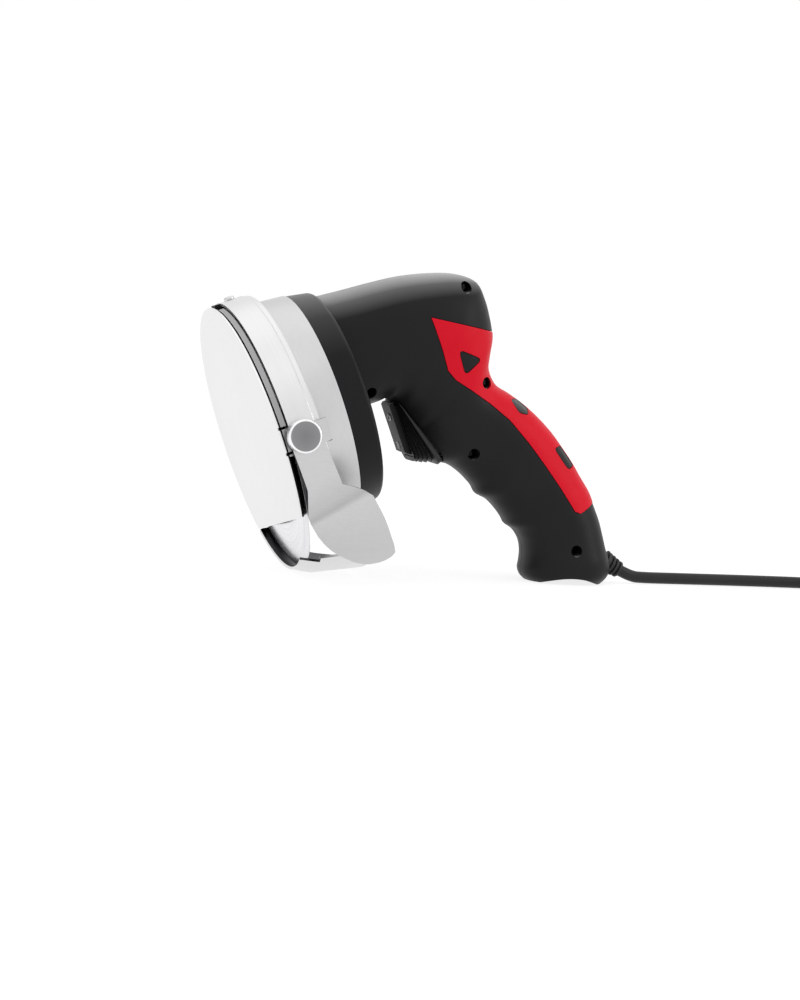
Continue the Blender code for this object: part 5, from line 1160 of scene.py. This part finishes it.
def softened(outline):
    """An outline with its corners rounded."""
    points = []
    for before, corner, after in zip(outline[-1:] + outline[:-1], outline, outline[1:] + outline[:1]):
        start = [c + (b - c) * ISLAND_CORNER_SHARE for b, c in zip(before, corner)]
        end = [c + (a - c) * ISLAND_CORNER_SHARE for a, c in zip(after, corner)]
        for i in range(ISLAND_CORNER_STEPS + 1):
            t = i / ISLAND_CORNER_STEPS
            points.append(tuple((1 - t) ** 2 * a + 2 * t * (1 - t) * c + t * t * b
                                for a, c, b in zip(start, corner, end)))
    return points


def guard_depth(degrees):
    """How far the guard reaches behind its lip at a turn."""
    for first, second in zip(GUARD_DEPTHS, GUARD_DEPTHS[1:]):
        if degrees <= second[0]:
            return first[1] + (second[1] - first[1]) * rise(degrees, (first[0], second[0]))
    return GUARD_DEPTHS[-1][1]


def make_lower_guard():
    """The strip under the blade. Its lip turns in before the blade, and it
    flares out behind; on the far side it lies on the band."""
    rows = []
    for degrees in range(GUARD_TURNS[0], GUARD_TURNS[1] + 1, GUARD_TURN_STEP):
        lip = rise(degrees, GUARD_LIP_TURNS)
        flare = rise(degrees, GUARD_FLARE_TURNS)
        depth = guard_depth(degrees)
        outwards = depth * math.tan(GUARD_FLARE * flare)
        front = LIP_START + LIP_DEPTH * (GUARD_SIDE_SHARE + (1 - GUARD_SIDE_SHARE) * lip)
        row = [(LIP_START - depth, STRAP_R + outwards), (LIP_START - depth / 2, STRAP_R + outwards / 2),
               (LIP_START, STRAP_R), (front, STRAP_R - LIP_DROP * lip)]
        rows.append([on_rim(math.radians(degrees), radius, place) for place, radius in row])
    guard = sheet("lower_guard", rows, BLADE_AXIS, GUARD_STEEL)
    outline = sector(DRUM_FRONT_R, RIM_R + OVERRUN, GUARD_STEP, LIP_START - GAP)
    carve(guard, raised("guard_step", outline, LIP_DEPTH + OVERRUN))
    for index, place in enumerate((CLIPS[1], GUARD_SCREW), 1):
        drill(guard, f"guard_hole_{index}", CLIP_SCREW_R + GAP, DRUM_FRONT_R, RIM_R + OVERRUN, place)


def guide_rows():
    """Turns with the shares of the guide's edges, at most GUIDE_TURN_STEP apart."""
    rows = []
    for first, second in zip(GUIDE_EDGE_SHARES, GUIDE_EDGE_SHARES[1:]):
        steps = math.ceil((second[0] - first[0]) / GUIDE_TURN_STEP)
        for i in range(steps):
            rows.append([a + (b - a) * i / steps for a, b in zip(first, second)])
    rows.append(GUIDE_EDGE_SHARES[-1])
    return rows


def make_thickness_guide():
    """The strap on the band and the paddle that sets the slice's thickness."""
    grid = []
    for degrees, front_share, rear_share in guide_rows():
        row = []
        for i in range(GUIDE_SPANS + 1):
            back = PADDLE_DEPTH * (rear_share + (front_share - rear_share) * i / GUIDE_SPANS)
            whole = rise(degrees - GUIDE_CREASE_SLOPE * back, GUIDE_FLARE_TURNS)
            radius = STRAP_R + GUIDE_LIFT * whole + back * math.tan(GUIDE_FLARE * whole)
            squeezed = degrees + GUIDE_SQUEEZE * max(0, GUIDE_SQUEEZE_FROM - degrees)
            row.append(on_rim(math.radians(squeezed), radius, COVER_REAR - back))
        grid.append(row)
    guide = sheet("thickness_guide", grid, BLADE_AXIS, GUIDE_STEEL)
    half = STUD_R + GAP
    carve(guide, box("guide_slot", (-GUIDE_FORWARD, -half, BAND_INNER_R),
                     (GUIDE_BACK, half, KNOB_SEAT + OVERRUN), KNOB))
    for name, place in (("slot_rear_end", -GUIDE_FORWARD), ("slot_front_end", GUIDE_BACK)):
        drill(guide, name, half, BAND_INNER_R, KNOB_SEAT + OVERRUN, KNOB, (place, 0))


def make_strap_shadow_sheet():
    """A thin dark sheet under the end of the guide's strap, a painted shadow along its edges."""
    under = STRAP_R - STRAP_SHADOW_GAP
    backs = [PADDLE_DEPTH * share for share in spread(STRAP_SHADOW_SHARES, STRAP_SHADOW_SPANS[1])]
    rings = []
    for degrees in spread(STRAP_SHADOW_TURNS, STRAP_SHADOW_SPANS[0]):
        turn = math.radians(degrees)
        low = [on_rim(turn, under - STRAP_SHADOW_T, COVER_REAR - back) for back in backs]
        rings.append(low + [on_rim(turn, under, COVER_REAR - back) for back in reversed(backs)])
    mesh = skin("strap_shadow_form", rings, BLADE_AXIS).data.copy()
    mesh.transform(BLADE_AXIS.matrix_world)
    finish_piece("strap_shadow_sheet", mesh, RUBBER, "guide")


def make_knob():
    """The knob that clamps the guide, and the stud that it runs on."""
    top = KNOB_SEAT + KNOB_T
    bore = STUD_R + GAP
    roof = top - KNOB_WALL
    profile = [(0, top)]
    profile += rounded(KNOB_R - KNOB_EDGE_R, top - KNOB_EDGE_R, KNOB_EDGE_R, math.pi / 2)
    profile += [(KNOB_R, KNOB_SEAT), (bore, KNOB_SEAT), (bore, roof), (0, roof)]
    lathe("clamp_knob", profile, KNOB, KNOB_STEEL, steps=SMALL_STEPS * 2)
    flange_low = BAND_SEAT_R - STUD_FLANGE_T
    profile = [(0, roof - GAP), (STUD_R, roof - GAP), (STUD_R, BAND_SEAT_R),
               (STUD_FLANGE_R, BAND_SEAT_R), (STUD_FLANGE_R, flange_low), (0, flange_low)]
    lathe("clamp_stud", profile, KNOB, KNOB_STEEL, steps=SCREW_STEPS)


def housing_ring(position, inset, steps):
    """One section of the housing, 0 at the gear case and 1 at the heel."""
    back_x, back_z, front_x, front_z, half = between(STATION_SHARES, position)
    back = housing_place((back_x, back_z))
    front = housing_place((front_x, front_z))
    along = (back - front).normalized()
    for ridge in RIDGE_SHARES:
        front -= along * RIDGE_HEIGHT * math.exp(-((position - ridge) / RIDGE_WIDTH_SHARE) ** 2)
    middle = (back + front) / 2
    section = rounded_section((back - front).length / 2 - inset, half * BARREL_HALF - inset,
                              SECTION_POWER, steps)
    return [middle + along * high + Vector((0, wide, 0)) for high, wide in section]


def housing_loft(name, inset, rings, steps, end=1.0, look=None, lead=0):
    """The housing's form, inset all round, with an added lead-in at its front."""
    rows = [housing_ring(end * i / (rings - 1), inset, steps) for i in range(rings)]
    if lead:
        rows.insert(0, [point + AXIS * lead for point in rows[0]])
    return skin(name, rows, TOOL, look)


def side_prism(name, shares, extra, low, high):
    """A prism across the housing, on an outline seen from its side."""
    outline = grown([housing_place(point) for point in shares], extra)
    outline = [point + Vector((0, low, 0)) for point in outline]
    return prism(name, outline, Vector((0, high - low, 0)), TOOL)


def boot_ring(turn, start, length, half):
    """A rounded oblong in the plane that fans out from the boot's top end."""
    radius = half * BOOT_CORNER_SHARE
    points = []
    for quarter in range(4):
        along = length - radius if quarter in (0, 3) else start + radius
        across = half - radius if quarter in (0, 1) else radius - half
        for i in range(BOOT_CORNER_STEPS):
            angle = math.pi / 2 * (quarter + i / (BOOT_CORNER_STEPS - 1))
            s = along + radius * math.cos(angle)
            y = across + radius * math.sin(angle)
            points.append(Vector((-s * math.cos(turn), y, s * math.sin(turn))))
    return points


def boot_loft(name, extra, look=None):
    """The fan-shaped boot with its pleats, larger all round by a little."""
    rows = list(BOOT_BASE_SHARES)
    for i in range(2 * PLEATS + 1):
        part = i / (2 * PLEATS)
        groove = PLEAT_DEPTH if i % 2 == 0 else 0
        turn, length, half = [a + (b - a) * part for a, b in zip(*PLEAT_SHARES)]
        rows.append((turn, length - groove / BOOT_LENGTH, half - groove / BOOT_HALF))
    rows.append(BOOT_FRONT_SHARES)
    back = BOOT_TURNS[0] - 2 * extra / BOOT_HALF
    span = BOOT_TURNS[1] - back
    rings = [boot_ring(back + span * turn, BOOT_START - extra, BOOT_LENGTH * length + extra,
                       BOOT_HALF * half + extra) for turn, length, half in rows]
    return skin(name, rings, SWITCH, look)


def switch_room(extra, top, depth):
    """Corners of a block about the rocker, from a depth up to a top."""
    x = ROCKER_LENGTH / 2 + ROCKER_RUN + extra
    y = ROCKER_HALF + GAP + extra
    return (-ROCKER_PLACE - x, -y, -depth), (-ROCKER_PLACE + x, y, top)


def make_switch():
    """The ribbed boot, the switch in it and its rocker."""
    boot = boot_loft("switch_boot", 0, RUBBER)
    carve(boot, box("boot_pocket", *switch_room(SWITCH_WALL + GAP, OVERRUN, SWITCH_DEPTH), FACE))
    body = box("switch_body", *switch_room(SWITCH_WALL, -SWITCH_TOP, SWITCH_DEPTH), FACE, BLACK)
    carve(body, box("switch_recess", *switch_room(0, OVERRUN, SWITCH_RECESS), FACE))
    drill(body, "pivot_hole", PIVOT_R + GAP, -BOOT_HALF, BOOT_HALF, PIVOT)
    half = ROCKER_LENGTH / 2
    height = ROCKER_PROUD + PIVOT_DEPTH
    outline = [Vector((x * half, -ROCKER_HALF, z * height)) for x, z in ROCKER_SHARES]
    rocker = prism("rocker", outline, Vector((0, 2 * ROCKER_HALF, 0)), ROCKER, BLACK)
    reach = ROCKER_HALF + PIVOT_REACH
    join(rocker, rod("rocker_pivot", PIVOT_R, -reach, reach, PIVOT, steps=SCREW_STEPS))


def make_cord_grip():
    """The ribbed sleeve where the cord leaves the heel, with its flange inside."""
    flange_low = -GRIP_FLANGE_BACK
    flange_top = flange_low + GRIP_FLANGE_T
    pitch = (GRIP_OUTSIDE - GRIP_NECK) / GRIP_RIBS
    profile = [(0, GRIP_OUTSIDE), (GRIP_TIP_R - GRIP_RIB_DEPTH / 2, GRIP_OUTSIDE)]
    for rib in range(GRIP_RIBS):
        radius = GRIP_TIP_R + (GRIP_ROOT_R - GRIP_TIP_R) * rib / GRIP_RIBS
        top = GRIP_OUTSIDE - pitch * rib
        profile += [(radius, top - pitch * RIB_SHARES[0]), (radius, top - pitch * RIB_SHARES[1])]
        if rib < GRIP_RIBS - 1:
            profile += [(radius - GRIP_RIB_DEPTH, top - pitch * RIB_SHARES[2]),
                        (radius - GRIP_RIB_DEPTH, top - pitch)]
    profile += [
        (GRIP_ROOT_R, GRIP_NECK), (GRIP_NECK_R, GRIP_NECK), (GRIP_NECK_R, flange_top),
        (GRIP_FLANGE_R, flange_top), (GRIP_FLANGE_R, flange_low), (GRIP_NECK_R, flange_low),
        (GRIP_NECK_R, -GRIP_INSIDE), (0, -GRIP_INSIDE),
    ]
    lathe("cord_grip", profile, GRIP, RUBBER, steps=SMALL_STEPS)


def housing_cutters():
    """What is cut from both shells, apart from each one's other half."""
    hollow = housing_loft("housing_hollow", HOUSING_WALL, HOLLOW_RINGS, HOLLOW_STEPS,
                          end=HOLLOW_END_SHARE, lead=OVERRUN)
    for index, place in enumerate(HOUSING_SCREWS, 1):
        carve(hollow, rod(f"housing_boss_{index}", BOSS_R, -BARREL_HALF, BARREL_HALF, place))
    reach = CASE_FRONT_R
    wide = BARREL_HALF + OVERRUN
    zone = side_prism("inlay_recess", INLAY_SHARES, GAP, -wide, wide)
    carve(zone, housing_loft("inlay_floor", INLAY_DEPTH, RING_COUNT, SECTION_STEPS))
    for name, shares in ISLANDS:
        carve(zone, side_prism(f"{name}_island", softened(shares), 0, -wide - OVERRUN, wide + OVERRUN))
    cutters = [
        hollow, zone, boot_loft("housing_boot_seat", GAP),
        box("housing_trim", (-reach, -reach, -GAP), (reach, reach, CASE_DEPTH * 2), HEAD),
        box("housing_switch_room", *switch_room(SWITCH_WALL + GAP, OVERRUN, SWITCH_DEPTH + GAP), FACE),
        rod("grip_seat", GRIP_ROOT_R + GAP, GRIP_NECK - GAP, GRIP_OUTSIDE, GRIP),
        rod("grip_hole", GRIP_NECK_R + GAP, -GRIP_INSIDE - GAP, GRIP_OUTSIDE, GRIP),
        rod("grip_flange_room", GRIP_FLANGE_R + GAP, -GRIP_INSIDE - GAP,
            GRIP_FLANGE_T - GRIP_FLANGE_BACK + GAP, GRIP),
    ]
    radius = (ARCH_WIDTH ** 2 / 4 + ARCH_DEPTH ** 2) / (2 * ARCH_DEPTH)
    arch = side_frame("arch_place", (ARCH_PLACE_SHARE, -1))
    cutters.append(rod("heel_arch", radius, -wide, wide, arch, place=(0, ARCH_DEPTH - radius),
                       steps=ROUND_STEPS))
    for index, place in enumerate(HOUSING_SCREWS, 1):
        cutters.append(rod(f"housing_sink_{index}", SINK_R, SINK_FLOOR, wide, place))
        cutters.append(rod(f"housing_hole_{index}", BOSS_HOLE_R, -PEG_DEPTH, SINK_FLOOR + GAP, place,
                           steps=SCREW_STEPS))
    return cutters


def make_inlay(name, side):
    """The red inlay of one shell, with room for the islands and, on the near
    side, for the screws."""
    wide = BARREL_HALF + OVERRUN
    low, high = sorted((side * PART_LINE / 2, side * wide))
    inlay = housing_loft(f"{name}_inlay", -INLAY_PROUD, RING_COUNT, SECTION_STEPS, look=RED)
    boolean(inlay, "INTERSECT", [side_prism(f"{name}_inlay_zone", INLAY_SHARES, 0, low, high)])
    carve(inlay, housing_loft(f"{name}_inlay_back", INLAY_DEPTH - GAP, RING_COUNT, SECTION_STEPS))
    for island, shares in ISLANDS:
        hole = side_prism(f"{name}_{island}_hole", softened(shares), GAP, low - OVERRUN, high + OVERRUN)
        carve(inlay, hole)
    if side < 0:
        for index, place in enumerate(HOUSING_SCREWS, 1):
            carve(inlay, rod(f"inlay_sink_{index}", SINK_R, SINK_FLOOR, wide, place))


def make_housing():
    """Both shells, their inlays and the screws that close them."""
    cutters = housing_cutters()
    wide = BARREL_HALF + OVERRUN
    reach = 2 * HANDLE_REACH
    for name, side in (("left", -1), ("right", 1)):
        edges = sorted((side * PART_LINE / 2, -side * wide))
        other = box(f"{name}_other_half", (-reach, edges[0], -reach), (reach, edges[1], reach), TOOL)
        shell = housing_loft(f"{name}_housing", 0, RING_COUNT, SECTION_STEPS, look=BLACK)
        carve(shell, *cutters, other)
        make_inlay(name, side)
    for index, place in enumerate(HOUSING_SCREWS, 1):
        screw(f"housing_screw_{index}", PEG_R, PEG_HEAD_R, PEG_HEAD_T,
              PEG_DEPTH + SINK_FLOOR - GAP, SINK_FLOOR + GAP, place)


def make_plug(end):
    """A flat two-pin plug, lying on its broad side."""
    plug = turned_frame("plug", None, end + Vector((GAP, 0, 0)), math.pi / 2)
    rings = []
    for along, grow in PLUG_SHARES:
        high = PLUG_NECK_R + (PLUG_HALF_HEIGHT - PLUG_NECK_R) * smooth(grow * 2)
        wide = PLUG_NECK_R + (PLUG_HALF_WIDTH - PLUG_NECK_R) * grow
        power = 1 + (PLUG_POWER - 1) * grow
        section = rounded_section(high, wide, power, SMALL_STEPS)
        rings.append([Vector((x, y, along * PLUG_LENGTH)) for x, y in section])
    body = skin("plug_body", rings, plug, BLACK)
    low = PLUG_LENGTH - PIN_SEAT
    for index, side in enumerate((-1, 1), 1):
        centre = (0, side * PIN_HALF_SPACING)
        drill(body, f"pin_hole_{index}", PIN_R + GAP, low, PLUG_LENGTH + OVERRUN, plug, centre)
        rod(f"plug_pin_{index}", PIN_R, low + GAP, PLUG_LENGTH + PIN_LENGTH, plug, BRASS, place=centre,
            steps=SCREW_STEPS)


# Finished pieces

BODIES = {"blade": "blade_set", "thickness_guide": "guide", "clamp_knob": "knob", "rocker": "rocker"}


def finish_piece(name, mesh, look, body):
    """A piece of the scene on its body, smooth apart from its sharp edges."""
    mesh.shade_smooth()
    mesh.set_sharp_from_angle(angle=math.radians(SHARP))
    mesh.materials.clear()
    mesh.materials.append(look)
    made = shown(name, mesh)
    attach(made, body)
    return made


def settle():
    """Turns the workshop's pieces into ones that stand for their nodes."""
    bpy.context.view_layer.update()
    graph = bpy.context.evaluated_depsgraph_get()
    made = {}
    for name, item in WORK.items():
        mesh = bpy.data.meshes.new_from_object(item.evaluated_get(graph))
        mesh.transform(item.matrix_world)
        made[name] = mesh
    for item in list(WORKSHOP.objects):
        bpy.data.objects.remove(item, do_unlink=True)
    bpy.data.collections.remove(WORKSHOP)
    for name, mesh in made.items():
        piece = finish_piece(name + "_fine", mesh, LOOKS.get(name, TURNED_STEEL), BODIES.get(name, ROOT))
        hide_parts(name)


def cross_recess(name, radius, top, parent):
    """A cross recess in a screw's head."""
    reach, half, depth = [share * radius for share in CROSS_SHARES]
    for index, (wide, narrow) in enumerate(((half, reach), (reach, half))):
        carve(WORK[name], box(f"{name}_cross_{index}", (-wide, -narrow, top - depth),
                              (wide, narrow, top + radius), parent))


def cord_points():
    """The cord's middle line, from the sleeve to the plug."""
    route = [CORD_START] + [Vector(point) for point in CORD_ROUTE[1:]]
    length = sum((b - a).length for a, b in zip(route, route[1:]))
    count = round(length / CORD_SPAN)
    points = [Vector(between(route, i / count)) for i in range(count + 1)]
    steps = round(COIL_TURNS * COIL_STEPS)
    half = COIL_STEPS // 2
    for i in range(2 * steps + half + 1):
        angle = math.pi / 2 - math.tau * i / COIL_STEPS
        radius = COIL_OUTER_R - COIL_PITCH * min(i, 2 * steps + half - i) / COIL_STEPS
        height = COIL_REST + COIL_LIFT * smooth((i - steps) / half)
        points.append(Vector((COIL_X + radius * math.cos(angle), COIL_Y + radius * math.sin(angle), height)))
    start = points[-1] + Vector((COIL_LEAD + GAP, 0, 0))
    points.append(start)
    for i in range(1, TAIL_SPANS + 1):
        part = i / TAIL_SPANS
        points.append(start + Vector((TAIL * part, 0, -TAIL_DROP * smooth(part))))
    return points


def make_cord(points):
    curve = bpy.data.curves.new("flex", "CURVE")
    curve.dimensions = "3D"
    curve.bevel_depth = CORD_R
    curve.bevel_resolution = CORD_ROUNDNESS
    curve.use_fill_caps = True
    spline = curve.splines.new("POLY")
    spline.points.add(len(points) - 1)
    for place, point in zip(spline.points, points):
        place.co = (*point, 1)
    spline.use_smooth = True
    curve.materials.append(CORD_BLACK)
    item = shown("flex", curve)
    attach(item, ROOT)
    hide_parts("cord", "cord_coil", "cord_tail")


def ring_mark():
    """An oval ring that stands on z 0."""
    shape = bmesh.new()
    turns = [math.tau * i / RING_STEPS for i in range(RING_STEPS)]
    corners = ((RING_IN, 0), (RING_IN, MARK_T), (RING_OUT, MARK_T), (RING_OUT, 0))
    rows = [[shape.verts.new((across * math.cos(turn), along * math.sin(turn), height)) for turn in turns]
            for (across, along), height in corners]
    stitch(shape, rows + rows[:1])
    return shape


def bar_mark():
    """A bar that stands on z 0."""
    shape = bmesh.new()
    size = Matrix.Diagonal((*BAR_SIZE, MARK_T, 1))
    bmesh.ops.create_cube(shape, size=1, matrix=Matrix.Translation((0, 0, MARK_T / 2)) @ size)
    return shape


def make_marks():
    """The switch's ring and bar, laid on the rocker's face."""
    for name, shape, share in (("mark_off", ring_mark(), MARK_PLACE_SHARE),
                               ("mark_on", bar_mark(), -MARK_PLACE_SHARE)):
        mesh = mesh_from(name, shape, outwards=True)
        spot = Matrix.Translation((share * ROCKER_LENGTH / 2, 0, ROCKER_PROUD + PIVOT_DEPTH))
        mesh.transform(ROCKER.matrix_world @ spot @ Matrix.Rotation(math.pi / 2, 4, "Z"))
        finish_piece(name, mesh, MARK_WHITE, "rocker")


# The pieces

cord_line = cord_points()
for make in (make_gear_case, make_drum, make_pan, make_blade, make_front_cover, make_clips, make_lower_guard,
             make_thickness_guide, make_knob, make_housing, make_switch, make_cord_grip):
    make()
make_plug(cord_line[-1])
bpy.context.view_layer.update()
for index, place in enumerate(HOUSING_SCREWS, 1):
    cross_recess(f"housing_screw_{index}", PEG_HEAD_R, SINK_FLOOR + GAP + PEG_HEAD_T, place)
for name, place, seat in BAND_SCREWS:
    cross_recess(name, CLIP_HEAD_R, seat + CLIP_HEAD_T, place)
make_marks()
# painted shadow along the guide strap's edges
make_strap_shadow_sheet()
settle()
make_cord(cord_line)

# Lights, floor and surroundings

FLOOR_HALF = 6            # metres
FLOOR_DROP = 0.2 * MM
FLOOR_GLOW = 0.82
FLOOR_MATT = 0.26
# Name, place, what it points at, size and power
LAMPS = [
    ("key", (-0.7, -0.9, 1.2), (0, 0, 0.06), (1.5, 1.5), 2.0),
    ("top", (0.15, 0.25, 1.3), (0.02, 0, 0.08), (1.8, 1.2), 2.2),
    ("side", (1.1, -0.6, 0.5), (0.03, 0, 0.06), (0.4, 0.8), 3),
]


def area(name, place, target, size, power):
    data = bpy.data.lights.new(name, "AREA")
    data.shape = "RECTANGLE"
    data.size, data.size_y = size
    data.energy = power
    lamp = shown(name, data)
    lamp.location = place
    lamp.rotation_mode = "QUATERNION"
    lamp.rotation_quaternion = (Vector(target) - Vector(place)).to_track_quat("-Z", "Y")


def seen_in_picture(tree):
    """1 for rays that come straight from the camera, by a reflection or
    through glass, and 0 for the others, which only light the object."""
    path = tree.nodes.new("ShaderNodeLightPath")
    seen = math_node(tree, "MAXIMUM", path.outputs["Is Camera Ray"], path.outputs["Is Glossy Ray"])
    return math_node(tree, "MAXIMUM", seen, path.outputs["Is Transmission Ray"])


def make_world():
    """A sky that is white in the picture and pale grey as a light."""
    world = bpy.data.worlds.new("studio")
    bpy.context.scene.world = world
    world.use_nodes = True
    tree = world.node_tree
    background = tree.nodes["Background"]
    direction = tree.nodes.new("ShaderNodeTexCoord").outputs["Generated"]
    height = plus(tree, times(tree, part_of(tree, direction, "Z"), 0.5), 0.5)
    sky = ramp(tree, height, [(0.40, 0.76), (0.52, 0.76), (0.62, 0.80), (0.80, 0.84)])
    tree.links.new(mix(tree, seen_in_picture(tree), sky, (1, 1, 1)), background.inputs["Color"])
    background.inputs["Strength"].default_value = 1.0


def make_floor():
    """A floor that glows white in the picture and keeps a soft shadow. As a
    light it is darker in front of the object than behind it."""
    shape = bmesh.new()
    bmesh.ops.create_grid(shape, x_segments=1, y_segments=1, size=FLOOR_HALF)
    mesh = mesh_from("floor", shape)
    floor = shown("floor", mesh)
    floor.location.z = -FLOOR_DROP
    look, tree, _, place = material("floor", (0.85, 0.85, 0.85), 0.9)
    behind = plus(tree, times(tree, part_of(tree, place, "Y"), 2.0), 0.5)
    shade = ramp(tree, behind, [(0.2, 0.55), (0.45, 0.62), (0.62, 0.88)])
    seen = seen_in_picture(tree)
    unseen = math_node(tree, "SUBTRACT", 1.0, seen)
    glow = tree.nodes.new("ShaderNodeEmission")
    strength = plus(tree, times(tree, seen, FLOOR_GLOW), times(tree, unseen, shade))
    tree.links.new(strength, glow.inputs["Strength"])
    matt = tree.nodes.new("ShaderNodeBsdfDiffuse")
    matt.inputs["Color"].default_value = (FLOOR_MATT, FLOOR_MATT, FLOOR_MATT, 1)
    both = tree.nodes.new("ShaderNodeAddShader")
    for socket, part in zip(both.inputs, (glow, matt)):
        tree.links.new(part.outputs[0], socket)
    tree.links.new(both.outputs[0], tree.nodes["Material Output"].inputs["Surface"])
    mesh.materials.append(look)


for lamp in LAMPS:
    area(*lamp)
make_world()
make_floor()
bpy.context.scene.view_settings.view_transform = "Standard"
